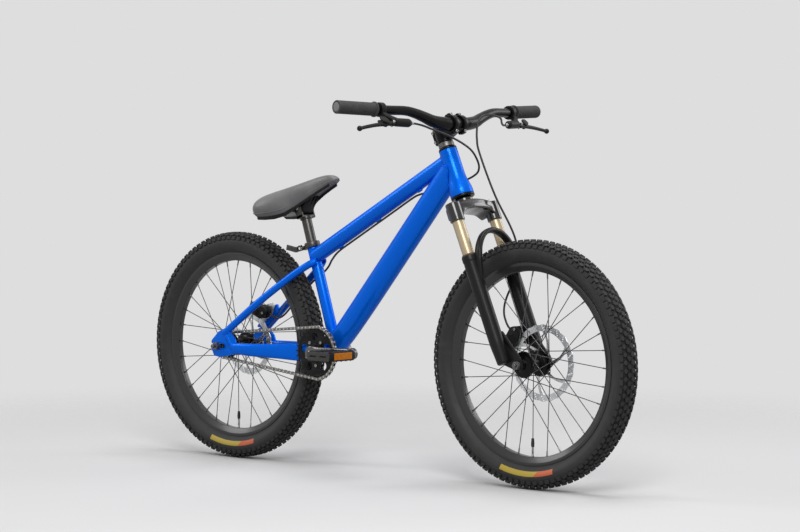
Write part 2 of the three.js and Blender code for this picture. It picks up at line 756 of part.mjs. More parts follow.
// Hub shell with two flanges and a seat for the brake rotor; its ends stop short of the locknuts
function hubSolid(fromY, toY, rightY) {
  const bore = boreOf(axleRadius);
  const half = hubFlangeThickness / 2;
  const rotorSeat = rotorY - rotorThickness / 2 - seatGap;
  return turned([
    [bore, fromY], [hubEndRadius, fromY], [hubFlangeRadius, rightY - half], [hubFlangeRadius, rightY + half],
    [hubBarrelRadius, rightY + 2 * hubFlangeThickness],
    [hubBarrelRadius, leftFlangeY - 2 * hubFlangeThickness],
    [hubFlangeRadius, leftFlangeY - half], [hubFlangeRadius, leftFlangeY + half],
    [rotorHubRadius, leftFlangeY + hubFlangeThickness], [rotorHubRadius, rotorSeat],
    [rotorBoreRadius - seatGap, rotorSeat], [rotorBoreRadius - seatGap, rotorY + rotorThickness],
    [hubEndRadius, rotorY + rotorThickness], [hubEndRadius, toY], [bore, toY],
  ]);
}

// Rotor: a braking band on leaning arms
function rotorSolid(radius) {
  const low = rotorY - rotorThickness / 2;
  const high = rotorY + rotorThickness / 2;
  const inner = radius - rotorBandWidth;
  const bandSides = 2 * roundSides;
  const band = plate(circlePoints(0, 0, radius, bandSides), low, high,
    [circlePoints(0, 0, inner, bandSides)]);
  const bore = [circlePoints(0, 0, cornerRadius(rotorBoreRadius, roundSides), roundSides)];
  const centre = plate(circlePoints(0, 0, rotorHubRadius + rotorArmWidth / 2, roundSides), low, high, bore);
  const arms = Array.from({ length: rotorArmCount }, (_, i) => {
    const start = (2 * Math.PI * i) / rotorArmCount;
    const end = start + rotorArmLean;
    const from = [Math.cos(start) * rotorHubRadius, rotorY, Math.sin(start) * rotorHubRadius];
    const reach = inner + rotorArmWidth / 2;
    const to = [Math.cos(end) * reach, rotorY, Math.sin(end) * reach];
    return bar([[from, rotorThickness, rotorArmWidth], [to, rotorThickness, rotorArmWidth]], [0, 1, 0], 4, 0);
  });
  return join(band, centre, ...arms);
}

// Axle with its two locknuts and the nuts outside the dropouts
function axleSolid(length, width, leftShellEnd, rightShellEnd, dropout, nutThickness) {
  const inner = width / 2 - seatGap;
  const nut = width / 2 + dropout + seatGap;
  const nutEnd = nut + nutThickness;
  const left = leftShellEnd + runningGap;
  const right = rightShellEnd - runningGap;
  return turned([
    [0, -length / 2], [axleRadius, -length / 2], [axleRadius, -nutEnd], [axleNutRadius, -nutEnd],
    [axleNutRadius, -nut], [axleRadius, -nut], [axleRadius, -inner], [locknutRadius, -inner],
    [locknutRadius, right],
    [axleRadius, right], [axleRadius, left], [locknutRadius, left], [locknutRadius, inner],
    [axleRadius, inner],
    [axleRadius, nut], [axleNutRadius, nut], [axleNutRadius, nutEnd], [axleRadius, nutEnd],
    [axleRadius, length / 2],
    [0, length / 2],
  ], nutSides);
}

function addWheel(group, name, hub, rotorRadius, rightY) {
  addPiece(group, `${name}_tyre`, tyreSolid(), finishes.rubber);
  addPiece(group, `${name}_rim`, rimSolid(), finishes.blackPaint);
  addPiece(group, `${name}_left_spokes`, spokeSet(leftFlangeY, 1 / 2), finishes.blackPaint);
  addPiece(group, `${name}_right_spokes`, spokeSet(rightY, 0), finishes.blackPaint);
  addPiece(group, `${name}_hub`, hub, finishes.blackPaint);
  addPiece(group, `${name}_brake_rotor`, rotorSolid(rotorRadius), finishes.silver);
}

// Caliper: a body that straddles the rotor's edge. In its frame X runs along the rotor's edge,
// Z points away from the axle, and the origin is in the middle of the body.
function caliperSolid(reach, rotorRadius) {
  const halfLength = caliperLength / 2;
  const halfDepth = caliperDepth / 2;
  const corner = caliperDepth * caliperChamferShare;
  const outline = [
    [-halfLength, -halfDepth], [halfLength, -halfDepth], [halfLength, halfDepth - corner],
    [halfLength - corner, halfDepth], [corner - halfLength, halfDepth], [-halfLength, halfDepth - corner],
  ];
  const body = plate(outline, caliperOuterY - caliperWidth, caliperOuterY);
  const slotTop = Math.max(rotorRadius + runningGap - reach, caliperSlotDepth - halfDepth);
  const slot = block(
    [-halfLength - overrun, rotorY - caliperSlotWidth / 2, -halfDepth - overrun],
    [halfLength + overrun, rotorY + caliperSlotWidth / 2, slotTop],
  );
  return cut(body, slot);
}

// Turns a caliper's frame to its place round an axle
function caliperPlace(degrees, reach, axleX, axleZ) {
  const angle = radians(degrees);
  const away = new THREE.Vector3(Math.cos(angle), 0, Math.sin(angle));
  const side = new THREE.Vector3(0, 1, 0);
  const along = side.clone().cross(away);
  const matrix = new THREE.Matrix4().makeBasis(along, side, away);
  return matrix.setPosition(axleX + away.x * reach, 0, axleZ + away.z * reach);
}

// Frame

const headSeat = onSteeringAxis(headTubeTop - topTubeJoin);
const downSeat = onSteeringAxis(headTubeTop - downTubeJoin);
const downFoot = [crankX + downTubeAhead, 0, crankHeight];
const topTubeTail = onSeatAxis(seatTubeLength - topTubeBelowSeatTop);
const topTubeStations = [[headSeat, topTubeWidth, topTubeHeight], [topTubeTail, topTubeWidth, topTubeHeight]];
const downTubeStations = [
  [downSeat, downTubeWidth, downTubeHeight],
  [pointBetween(downSeat, downFoot, downTubeTaperShare), downTubeWidth, downTubeHeight],
  [[crankX, 0, crankHeight], downTubeWidth, 2 * shellRadius],
];
const frontCaliperMatrix = caliperPlace(frontCaliperAngle, frontCaliperReach, forkOffset, 0);
// Direction from the rear axle to the top tube's tail
const stayAngle = Math.atan2(topTubeTail[2] - wheelCentreHeight, topTubeTail[0] - rearAxleX);
const steeringMatrix = new THREE.Matrix4().makeRotationY(steeringLean).setPosition(...steeringFoot);

function headTubeSolid() {
  const lowerBore = cornerRadius(headTubeLowerBoreRadius, roundSides);
  const bore = cornerRadius(headTubeBoreRadius, roundSides);
  const bottom = axleToHeadTube;
  return turnedUpright([
    [lowerBore, bottom], [headTubeBottomRadius, bottom],
    [headTubeBottomRadius, bottom + headTubeLowerBoreDepth],
    [headTubeTopRadius, bottom + headTubeFlareLength], [headTubeTopRadius, headTubeTop], [bore, headTubeTop],
    [bore, bottom + 2 * headTubeLowerBoreDepth], [lowerBore, bottom + headTubeLowerBoreDepth],
  ]);
}

// The head tube's outside, grown by a gap and run past its ends, to cut the tubes that meet it
function headTubeCutter() {
  const bottom = axleToHeadTube;
  const solid = turnedUpright([
    [0, bottom - overrun], [headTubeBottomRadius + seatGap, bottom - overrun],
    [headTubeBottomRadius + seatGap, bottom + headTubeLowerBoreDepth],
    [headTubeTopRadius + seatGap, bottom + headTubeFlareLength],
    [headTubeTopRadius + seatGap, headTubeTop + overrun], [0, headTubeTop + overrun],
  ]);
  return moved(solid, steeringMatrix);
}

function seatTubeCutter() {
  return rod(onSeatAxis(0), onSeatAxis(seatTubeLength), seatTubeRadius + seatGap);
}

function shellCutter() {
  return crossRod(crankX, crankHeight, -shellWidth, shellWidth, shellRadius + seatGap);
}

// What is left of a cut piece, without its offcuts
function largestPiece(solid) {
  return solid.decompose().reduce((best, piece) => (piece.volume() > best.volume() ? piece : best));
}

function topTubeSolid() {
  const away = new THREE.Vector3(...topTubeTail).sub(new THREE.Vector3(...headSeat)).normalize();
  const down = new THREE.Vector3(0, -1, 0).cross(away);
  const guides = cableGuideShares.map((share) => {
    const middle = new THREE.Vector3(...pointBetween(headSeat, topTubeTail, share));
    const top = middle.clone().addScaledVector(down, topTubeHeight / 2 - frameWall);
    const bottom = middle.clone().addScaledVector(down, topTubeHeight / 2 + cableGuideDrop);
    return bar(
      [[top.toArray(), cableGuideWidth, cableGuideLength],
      [bottom.toArray(), cableGuideWidth, cableGuideLength]],
      [0, 1, 0], 4, 0,
    );
  });
  return largestPiece(cut(join(frameTube(topTubeStations), ...guides), headTubeCutter(), seatTubeCutter()));
}

function downTubeSolid() {
  const tube = frameTube(downTubeStations);
  return largestPiece(cut(tube, headTubeCutter(), frameTube(topTubeStations, seatGap), shellCutter()));
}

function seatTubeSolid() {
  const outside = rod(onSeatAxis(0), onSeatAxis(seatTubeLength), seatTubeRadius);
  const bore = cornerRadius(seatpostRadius + seatGap, roundSides);
  const inside = rod(onSeatAxis(-overrun), onSeatAxis(seatTubeLength + overrun), bore);
  return largestPiece(cut(outside, inside, frameTube(downTubeStations, seatGap), shellCutter()));
}

function shellSolid() {
  const bore = cornerRadius(shellBore, roundSides);
  const half = shellWidth / 2;
  return turned([[bore, -half], [shellRadius, -half], [shellRadius, half], [bore, half]]);
}

// Cartridge of bearings between the shell and the spindle, with a lip outside each end of the shell
function cartridgeSolid() {
  const lip = shellWidth / 2 + seatGap;
  const end = lip + cartridgeLip;
  const outer = cornerRadius(shellBore, roundSides) - seatGap;
  const bore = boreOf(spindleRadius);
  return turned([
    [bore, -end], [shellRadius, -end], [shellRadius, -lip], [outer, -lip],
    [outer, lip], [shellRadius, lip], [shellRadius, end], [bore, end],
  ]);
}

// Places beside the rear wheel, as shares of the dropout's reach from the axle
function nearRearAxle([along, up]) {
  return [rearAxleX + along * rearDropoutReach, wheelCentreHeight + up * rearDropoutReach];
}

// A place given along the seatstay from the rear axle and above it
function alongStay(along, above) {
  const [cos, sin] = [Math.cos(stayAngle), Math.sin(stayAngle)];
  return [rearAxleX + along * cos - above * sin, wheelCentreHeight + along * sin + above * cos];
}

function besideStay([along, above]) {
  return alongStay(along * rearDropoutReach, above * rearDropoutReach);
}

// Left dropout plate, with its slot open to the rear
function dropoutPlate(grow = 0) {
  const inner = rearHubWidth / 2;
  return plate(rearDropoutShares.map(nearRearAxle), inner - grow, inner + rearDropoutThickness + grow);
}

function axleSlot() {
  const half = axleRadius + seatGap;
  const inner = rearHubWidth / 2;
  return block(
    [rearAxleX - rearDropoutReach, inner - overrun, wheelCentreHeight - half],
    [rearAxleX + axleSlotLength, inner + rearDropoutThickness + overrun, wheelCentreHeight + half],
  );
}

const stayOuterY = rearHubWidth / 2 + rearDropoutThickness / 2;

function braceRod(radius) {
  const [top, foot] = braceShares.map(nearRearAxle);
  return rod([top[0], stayOuterY, top[1]], [foot[0], stayOuterY, foot[1]], radius, smallSides);
}

function chainstaySolid() {
  const last = chainstayShares.length - 2;
  const stations = chainstayShares.map(([along, up, out], i) => {
    const forward = Math.min(i / last, 1);
    const x = blend(rearAxleX, crankX, along);
    const z = blend(wheelCentreHeight, crankHeight, along) + up * rearDropoutReach;
    const width = blend(chainstayRearWidth, chainstayFrontWidth, forward ** 2);
    return [[x, out * stayOuterY, z], width, blend(chainstayRearHeight, chainstayFrontHeight, forward)];
  });
  const stay = bar(stations, [0, 1, 0], smallSides, staySquareness);
  const whole = join(stay, braceRod(braceDiameter / 2), dropoutPlate());
  return largestPiece(cut(whole, axleSlot(), shellCutter()));
}

function seatstaySolid() {
  const stations = seatstayShares.map(([along, up, out]) => {
    const x = blend(rearAxleX, topTubeTail[0], along);
    const z = blend(wheelCentreHeight, topTubeTail[2], up);
    return [[x, out * stayOuterY, z], seatstayDiameter, seatstayDiameter];
  });
  const clearings = [dropoutPlate(seatGap), braceRod(braceDiameter / 2 + seatGap), seatTubeCutter()];
  return largestPiece(cut(bar(stations), ...clearings, frameTube(topTubeStations, seatGap)));
}

// The left seatstay carries the rear brake on a tab
function leftSeatstaySolid() {
  const inner = caliperOuterY + adapterThickness + 2 * seatGap;
  const tab = plate(brakeTabShares.map(besideStay), inner, inner + brakeTabThickness);
  return join(seatstaySolid(), tab);
}

function adapterSolid() {
  const inner = caliperOuterY + seatGap;
  return plate(adapterShares.map(besideStay), inner, inner + adapterThickness);
}

// Clamp ring round the seat tube's top, split at the back, with ears and a pin for its lever
function seatCollarSolid() {
  const top = seatTubeLength + collarAboveTube;
  const bottom = top - collarHeight;
  const lip = seatTubeLength + seatGap;
  const bore = cornerRadius(seatTubeRadius + seatGap, roundSides);
  const lipBore = cornerRadius(seatpostRadius + seatGap, roundSides);
  const ring = turnedUpright([
    [bore, bottom], [collarRadius, bottom], [collarRadius, top], [lipBore, top], [lipBore, lip], [bore, lip],
  ]);
  const middle = (top + bottom) / 2;
  const earRoot = -(bore + seatGap);
  const earEnd = -(collarRadius + collarEarLength);
  const ears = block(
    [earEnd, -collarEarWidth / 2, middle - collarEarHeight / 2],
    [earRoot, collarEarWidth / 2, middle + collarEarHeight / 2],
  );
  const slot = block(
    [earEnd - overrun, -collarSlotWidth / 2, bottom - overrun],
    [earRoot + overrun, collarSlotWidth / 2, top + overrun],
  );
  const pinX = clampPinX();
  const pinEnd = clampPinLength / 2;
  const pin = crossRod(pinX, middle, -pinEnd, pinEnd, clampPinRadius, smallSides);
  const nut = crossRod(pinX, middle, collarEarWidth / 2, pinEnd, clampNutRadius, smallSides);
  const half = clampLeverWidth / 2;
  const trunnion = rod(
    [pinX, -pinEnd, middle - half], [pinX, -pinEnd, middle + half], clampTrunnionRadius, smallSides,
  );
  return join(cut(join(ring, ears), slot), pin, nut, trunnion);
}

function clampPinX() {
  return -(collarRadius + collarEarLength / 2);
}

// Quick-release lever, about its trunnion: a forked head and a blade that sweeps back and up
function clampLeverSolid() {
  const half = clampLeverWidth / 2;
  const headRadius = clampLeverThickness;
  const head = rod([0, 0, -half], [0, 0, half], headRadius, smallSides);
  const blade = bar([
    [[0, 0, 0], clampLeverThickness, clampLeverWidth],
    [[-clampLeverForkDepth - headRadius, 0, 0], clampLeverThickness, clampLeverWidth],
    [[-clampLeverLength, -clampLeverThickness / 2, clampLeverRise], clampLeverThickness / 2, clampLeverWidth],
  ], [0, 1, 0], 4, 0);
  const forkHalf = clampPinRadius + runningGap;
  const fork = block([-clampLeverForkDepth, -headRadius - overrun, -forkHalf],
    [overrun + headRadius, headRadius + overrun, forkHalf]);
  const bore = cornerRadius(clampTrunnionRadius + seatGap, smallSides);
  const hole = rod([0, 0, -half - overrun], [0, 0, half + overrun], bore, smallSides);
  return cut(join(head, blade), fork, hole);
}

// Seat, in the seat tube's frame, whose Z runs up the seat tube's axis

const pivotHeight = seatTubeLength + seatpostExposed + saddlePivotRise;

function seatpostSolid() {
  const top = pivotHeight - saddlePivotRise;
  const tube = rod([0, 0, seatTubeLength - seatpostInsertion], [0, 0, top], seatpostRadius);
  const head = rod([0, 0, top - postHeadHeight], [0, 0, top], postHeadRadius);
  const inner = keelWidth / 2 + seatGap;
  const ears = [-1, 1].map((side) => {
    const [low, high] = [side * inner, side * (inner + postEarThickness)].sort((a, b) => a - b);
    const stem = block([-postEarRadius, low, top - postHeadHeight / 2], [postEarRadius, high, pivotHeight]);
    return join(stem, crossRod(0, pivotHeight, low, high, postEarRadius));
  });
  const reach = inner + postEarThickness;
  const bolt = crossRod(0, pivotHeight, -reach, reach, postBoltRadius, smallSides);
  const bore = rod(
    [0, 0, seatTubeLength - seatpostInsertion - overrun], [0, 0, top - postHeadHeight],
    seatpostRadius - frameWall, smallSides,
  );
  return cut(join(tube, head, ...ears, bolt), bore);
}

// Saddle, about its pivot: X forward along the saddle, Z up from it

function saddleStations() {
  return saddleShares.map(([along, half, topShare, bottomShare, hollow]) => {
    const top = saddleTopHeight - topShare * saddlePadDepth;
    const bottom = saddleTopHeight - bottomShare * saddlePadDepth;
    const x = saddleNoseX - saddleLength * (1 - along);
    return { x, half: half * saddleHalfWidth, top, bottom, ceiling: blend(bottom, top, hollow) };
  });
}

function bothSides(half, x) {
  const left = half.map(([y, z]) => new THREE.Vector3(x, y, z));
  const right = half.filter(([y]) => y > 0).map(([y, z]) => new THREE.Vector3(x, -y, z));
  return [...left, ...right.reverse()];
}

// Padded cover: crowned on top, drawn in at the sides, hollow underneath for its base
function saddlePadSolid() {
  const [mouthShare, ceilingShare] = padHollowShares;
  return skin(saddleStations().map(({ x, half, top, bottom, ceiling }) => {
    const skinPoints = padSectionShares.map(([out, down]) => [out * half, blend(top, bottom, down)]);
    return bothSides([...skinPoints, [mouthShare * half, bottom], [ceilingShare * half, ceiling]], x);
  }));
}

// Base: a plug inside the pad's hollow, a rim under the pad and a housing with a keel round the pivot
function saddleBaseSolid() {
  const [mouthShare, ceilingShare] = padHollowShares;
  const stations = saddleStations().slice(baseInset, -baseInset);
  const shell = skin(stations.map(({ x, half, bottom, ceiling }) => bothSides([
    [ceilingShare * half - saddlePlugGap, Math.max(ceiling - saddlePlugGap, bottom)],
    [mouthShare * half - saddlePlugGap, bottom - saddleRimGap],
    [saddleRimShare * half, bottom - saddleRimGap],
    [saddleRimShare * half - saddlePlugGap, bottom - saddleRimGap - saddleRimDepth],
  ], x)));
  const arc = Array.from({ length: keelSteps + 1 }, (_, i) => {
    const angle = radians(blend(-keelArc, keelArc, i / keelSteps));
    return [keelRadius * Math.sin(angle), -keelRadius * Math.cos(angle)];
  });
  const roof = postEarRadius + runningGap;
  const housing = plate([...arc, [keelLength, roof], [-keelLength, roof]], -saddleHousingWidth / 2,
    saddleHousingWidth / 2);
  const inner = keelWidth / 2;
  const pockets = [-1, 1].map((side) => {
    const outer = inner + postEarThickness + 2 * seatGap + runningGap;
    const [low, high] = [side * inner, side * outer].sort((a, b) => a - b);
    const round = crossRod(0, 0, low, high, postEarRadius + runningGap);
    const half = postEarRadius + saddlePivotRise * Math.sin(radians(saddleTiltRange)) + runningGap;
    return join(round, block([-half, low, -saddlePivotRise], [half, high, 0]));
  });
  const boltBore = crossRod(0, 0, -saddleHousingWidth, saddleHousingWidth, boreOf(postBoltRadius),
    roundSides);
  return cut(join(shell, housing), ...pockets, boltBore);
}

// Headset and steering parts, in the steering frame: X forward, Z up the steering axis

const crownTop = axleToHeadTube - 2 * seatGap - headsetLipHeight;
const spacerBottom = headTubeTop + headsetLipHeight + 2 * seatGap;
const stemBottom = headTubeTop + stemBottomAboveHead;
const stemTop = stemBottom + stemHeight;
const steererTop = stemTop - stemTopGap;
const barHeight = headTubeTop + barAboveHead;
const legPlaces = [-1, 1].map((side) => (side * forkLegSpacing) / 2);

function upperCupSolid() {
  const bore = boreOf(steererRadius);
  const outer = cornerRadius(headTubeBoreRadius, roundSides) - seatGap;
  const lip = headTubeTop + seatGap;
  return turnedUpright([
    [bore, headTubeTop - headsetPressDepth], [outer, headTubeTop - headsetPressDepth], [outer, lip],
    [headTubeTopRadius, lip], [headTubeTopRadius, lip + headsetLipHeight], [bore, lip + headsetLipHeight],
  ]);
}

function lowerCupSolid() {
  const bore = boreOf(steererRadius);
  const outer = cornerRadius(headTubeLowerBoreRadius, roundSides) - seatGap;
  const lip = axleToHeadTube - seatGap;
  return turnedUpright([
    [bore, lip - headsetLipHeight], [headTubeBottomRadius, lip - headsetLipHeight],
    [headTubeBottomRadius, lip],
    [outer, lip], [outer, axleToHeadTube + headsetPressDepth], [bore, axleToHeadTube + headsetPressDepth],
  ]);
}

function headsetSpacerSolid() {
  const bore = steererRadius + seatGap;
  const top = stemBottom - seatGap;
  return turnedUpright([[bore, spacerBottom], [spacerRadius, spacerBottom], [spacerRadius, top],
    [bore, top]]);
}

// A plate across the bike: an outline of [y, z] points, as thick as the span of x
function crossPlate(outline, fromX, toX) {
  return moved(plate(outline, -toX, -fromX), new THREE.Matrix4().makeRotationZ(Math.PI / 2));
}

// Crown with its two sockets, open below, and the steerer tube
function crownSolid() {
  const outline = crownShares.map(([out, up]) => [(out * forkLegSpacing) / 2,
    blend(socketBottom, crownTop, up)]);
  const bossBottom = blend(socketBottom, crownTop, crownBossShare);
  const bridge = crossPlate(outline, crownBack, crownFront);
  const boss = rod([0, 0, bossBottom], [0, 0, crownTop], crownBossRadius);
  const steerer = rod([0, 0, bossBottom], [0, 0, steererTop], steererRadius);
  const sockets = legPlaces.map((y) => rod([legOffset, y, socketBottom], [legOffset, y, socketTop],
    socketRadius));
  const bore = stanchionRadius + seatGap;
  const socketBores = legPlaces.map((y) => (
    rod([legOffset, y, socketBottom - overrun], [legOffset, y, socketTop - socketRoof], bore)
  ));
  const steererHole = rod([0, 0, socketBottom], [0, 0, steererTop + overrun], steererBore, smallSides);
  const knobHole = rod(
    [legOffset, legPlaces[1], socketTop - socketRoof - overrun],
    [legOffset, legPlaces[1], socketTop + overrun],
    cornerRadius(knobStemRadius + seatGap, smallSides), smallSides,
  );
  return cut(join(bridge, boss, steerer, ...sockets), ...socketBores, steererHole, knobHole);
}

function stanchionSolid() {
  const top = socketTop - socketRoof - seatGap;
  const bore = stanchionRadius - stanchionWall;
  return turnedUpright([
    [bore, stanchionBottom], [stanchionRadius, stanchionBottom], [stanchionRadius, top], [bore, top],
  ]);
}

// Damping adjuster on the left socket, about its own axis, from the socket's top
function knobSolid() {
  return turnedUpright([
    [0, -2 * socketRoof], [knobStemRadius, -2 * socketRoof], [knobStemRadius, seatGap], [knobRadius, seatGap],
    [knobRadius, knobHeight * knobEdgeShare], [knobRadius * knobEdgeShare, knobHeight], [0, knobHeight],
  ], smallSides);
}

// Fork lowers: two legs joined by an arch, with dropouts for the axle and lugs for the brake
function lowersSolid() {
  const bore = stanchionRadius + runningGap;
  const legs = legPlaces.map((y) => moved(turnedUpright([
    [0, legBottom], [legFootRadius, legBottom], [legRadius, legBoreBottom],
    [legRadius, legTop - legCollarHeight],
    [legCollarRadius, legTop - legCollarHeight], [legCollarRadius, legTop], [bore, legTop],
    [bore, legBoreBottom],
    [0, legBoreBottom],
  ]), new THREE.Matrix4().makeTranslation(legOffset, y, 0)));
  const archPoint = ([forward, out, up], side) => [
    blend(legOffset, archForward, forward), (side * out * forkLegSpacing) / 2,
    blend(legTop - archFootDepth, archTop, up),
  ];
  const rightHalf = archShares.map((share) => [archPoint(share, -1), archThickness, archWidth]);
  const leftHalf = archShares.slice(0, -1).map((share) => [archPoint(share, 1), archThickness, archWidth]);
  const arch = bar([...rightHalf, ...leftHalf.reverse()], [1, 0, 0], smallSides, archSquareness);
  const inner = frontHubWidth / 2;
  const slotRadius = axleRadius + seatGap;
  const dropoutOutline = forkDropoutShares.map(([x, z]) => [x * forkOffset, z * forkDropoutHeight]);
  const dropout = (low, high) => cut(
    join(plate(dropoutOutline, low, high), crossRod(forkOffset, 0, low, high, forkBossRadius)),
    crossRod(forkOffset, 0, low - overrun, high + overrun, cornerRadius(slotRadius, roundSides)),
    block(
      [forkOffset - slotRadius, low - overrun, -forkBossRadius - overrun],
      [forkOffset + slotRadius, high + overrun, 0],
    ),
  );
  const outer = inner + dropoutThickness;
  const dropouts = [dropout(-outer, -inner), dropout(inner, outer)];
  const brake = new THREE.Vector3().setFromMatrixPosition(frontCaliperMatrix);
  const lugs = [-1, 1].map((side) => {
    const middle = brake.z + (side * lugSpacing) / 2;
    return block(
      [brake.x - lugHeight / 2, caliperOuterY + seatGap, middle - lugHeight / 2],
      [legOffset - legFootRadius / 2, legPlaces[1] - legFootRadius / 2, middle + lugHeight / 2],
    );
  });
  const clearing = legPlaces.map((y) => rod([legOffset, y, legBoreBottom], [legOffset, y, legTop + overrun],
    bore));
  return cut(join(...legs, arch, ...dropouts, ...lugs), ...clearing);
}

// Stem: a split clamp on the steerer and the rear half of the handlebar clamp
function stemSolid() {
  const halfWidth = stemBarClampWidth / 2;
  const middle = (stemBottom + stemTop) / 2;
  const steererClamp = rod([0, 0, stemBottom], [0, 0, stemTop], stemClampRadius);
  const barClamp = crossRod(stemReach, barHeight, -halfWidth, halfWidth, stemBarClampRadius);
  const neck = bar([
    [[0, 0, middle], stemWidth, stemHeight - stemBoltEarHeight],
    [[stemReach, 0, barHeight], stemBarClampWidth, stemHeight - stemBoltEarHeight],
  ], [0, 1, 0], smallSides, stemSquareness);
  const pinch = block(
    [-stemClampRadius - stemPinchDepth, -stemPinchWidth / 2, stemBottom + stemSlotWidth],
    [-steererRadius - seatGap, stemPinchWidth / 2, stemTop - stemSlotWidth],
  );
  const far = stemReach + stemBarClampRadius + overrun;
  const faceSide = block([stemReach, -stemBarClampWidth, stemBottom - stemHeight],
    [far, stemBarClampWidth, stemTop + stemHeight]);
  const slot = block(
    [-stemClampRadius - stemPinchDepth - overrun, -stemSlotWidth / 2, stemBottom - overrun],
    [-steererRadius + seatGap, stemSlotWidth / 2, stemTop + overrun],
  );
  const ears = boltEars(stemReach - stemBoltEarDepth, stemReach);
  return cut(
    join(steererClamp, barClamp, neck, pinch, ears), faceSide, slot, barClampBore(),
    rod([0, 0, stemBottom - overrun], [0, 0, stemTop + overrun], steererRadius + seatGap),
  );
}

function barClampBore() {
  const halfWidth = stemBarClampWidth / 2 + overrun;
  return crossRod(stemReach, barHeight, -halfWidth, halfWidth,
    cornerRadius(barClampRadius + seatGap, roundSides));
}

// Blocks above and below the handlebar that the faceplate's bolts go through
function boltEars(fromX, toX) {
  const half = stemBarClampRadius + stemBoltEarHeight;
  return block([fromX, -stemBarClampWidth / 2, barHeight - half],
    [toX, stemBarClampWidth / 2, barHeight + half]);
}

function faceplateSolid() {
  const halfWidth = stemBarClampWidth / 2;
  const back = stemReach + stemSlotWidth;
  const ring = crossRod(stemReach, barHeight, -halfWidth, halfWidth, stemBarClampRadius);
  const backSide = block(
    [stemReach - stemBarClampRadius - overrun, -stemBarClampWidth, stemBottom - stemHeight],
    [back, stemBarClampWidth, stemTop + stemHeight],
  );
  const window = block(
    [stemReach, faceplateBandWidth - halfWidth, barHeight - barClampRadius * faceplateWindowShare],
    [stemReach + stemBarClampRadius + overrun, halfWidth - faceplateBandWidth,
    barHeight + barClampRadius * faceplateWindowShare],
  );
  return cut(join(ring, boltEars(back, back + stemBoltEarDepth)), backSide, window, barClampBore());
}

function topCapSolid() {
  const plug = steererRadius - stemTopGap;
  const under = stemTop + seatGap;
  return turnedUpright([
    [0, steererTop + seatGap], [plug, steererTop + seatGap], [plug, under], [stemClampRadius, under],
    [stemClampRadius, under + topCapThickness / 2], [plug, under + topCapThickness],
    [0, under + topCapThickness],
  ]);
}

function barPoint([out, up, back], side = 1) {
  return [stemReach - back * barSetback, side * out * barHalfWidth, barHeight + up * barRise];
}

// Handlebar: straight in the clamp, then rising, then swept back to the grips; hollow
function handlebarSolid() {
  const half = (thinner) => barShares.map((share) => {
    const diameter = 2 * (blend(barClampRadius, barEndRadius, share[3]) - thinner);
    return [share, diameter];
  });
  const along = (thinner) => {
    const left = half(thinner).map(([share, diameter]) => [barPoint(share), diameter, diameter]);
    const right = half(thinner).slice(1).map(([share, diameter]) => [barPoint(share, -1), diameter,
      diameter]);
    return [...right.reverse(), ...left];
  };
  const tube = bar(along(0), [1, 0, 0], barSides);
  const hollow = along(barWall);
  const past = (end, before) => {
    const from = new THREE.Vector3(...before[0]);
    const away = new THREE.Vector3(...end[0]).sub(from);
    return [from.addScaledVector(away, 1 + overrun / away.length()).toArray(), end[1], end[2]];
  };
  hollow[0] = past(hollow[0], hollow[1]);
  hollow[hollow.length - 1] = past(hollow[hollow.length - 1], hollow[hollow.length - 2]);
  return cut(tube, bar(hollow, [1, 0, 0], smallSides));
}

// A frame on the left end of the handlebar: Y outwards along it, X towards the brake lever
function barFrame(origin) {
  const inner = new THREE.Vector3(...barPoint(barShares[barShares.length - 2]));
  const outer = new THREE.Vector3(...barPoint(barShares[barShares.length - 1]));
  const along = outer.clone().sub(inner).normalize();
  const droop = radians(leverDroop);
  const ahead = new THREE.Vector3(Math.cos(droop), 0, -Math.sin(droop));
  ahead.addScaledVector(along, -ahead.dot(along)).normalize();
  const place = origin > 0 ? inner.addScaledVector(along, (origin - inner.y) / along.y) : outer;
  return new THREE.Matrix4().makeBasis(ahead, along, ahead.clone().cross(along)).setPosition(place);
}

// Left grip, closed over the handlebar's end
function gripSolid() {
  const inside = seatGap;
  const outside = inside + gripCapThickness;
  const start = outside - gripLength;
  const bore = cornerRadius(barEndRadius + seatGap, roundSides);
  const grip = turned([
    [0, inside], [bore, inside], [bore, start], [gripFlangeRadius, start],
    [gripFlangeRadius, start + gripFlangeWidth],
    [gripRadius, start + gripFlangeWidth], [gripRadius, outside], [0, outside],
  ]);
  return moved(grip, barFrame(0));
}

const leverFrame = barFrame(leverStation);
const leverPivot = [leverPivotForward, -leverPivotIn, 0];

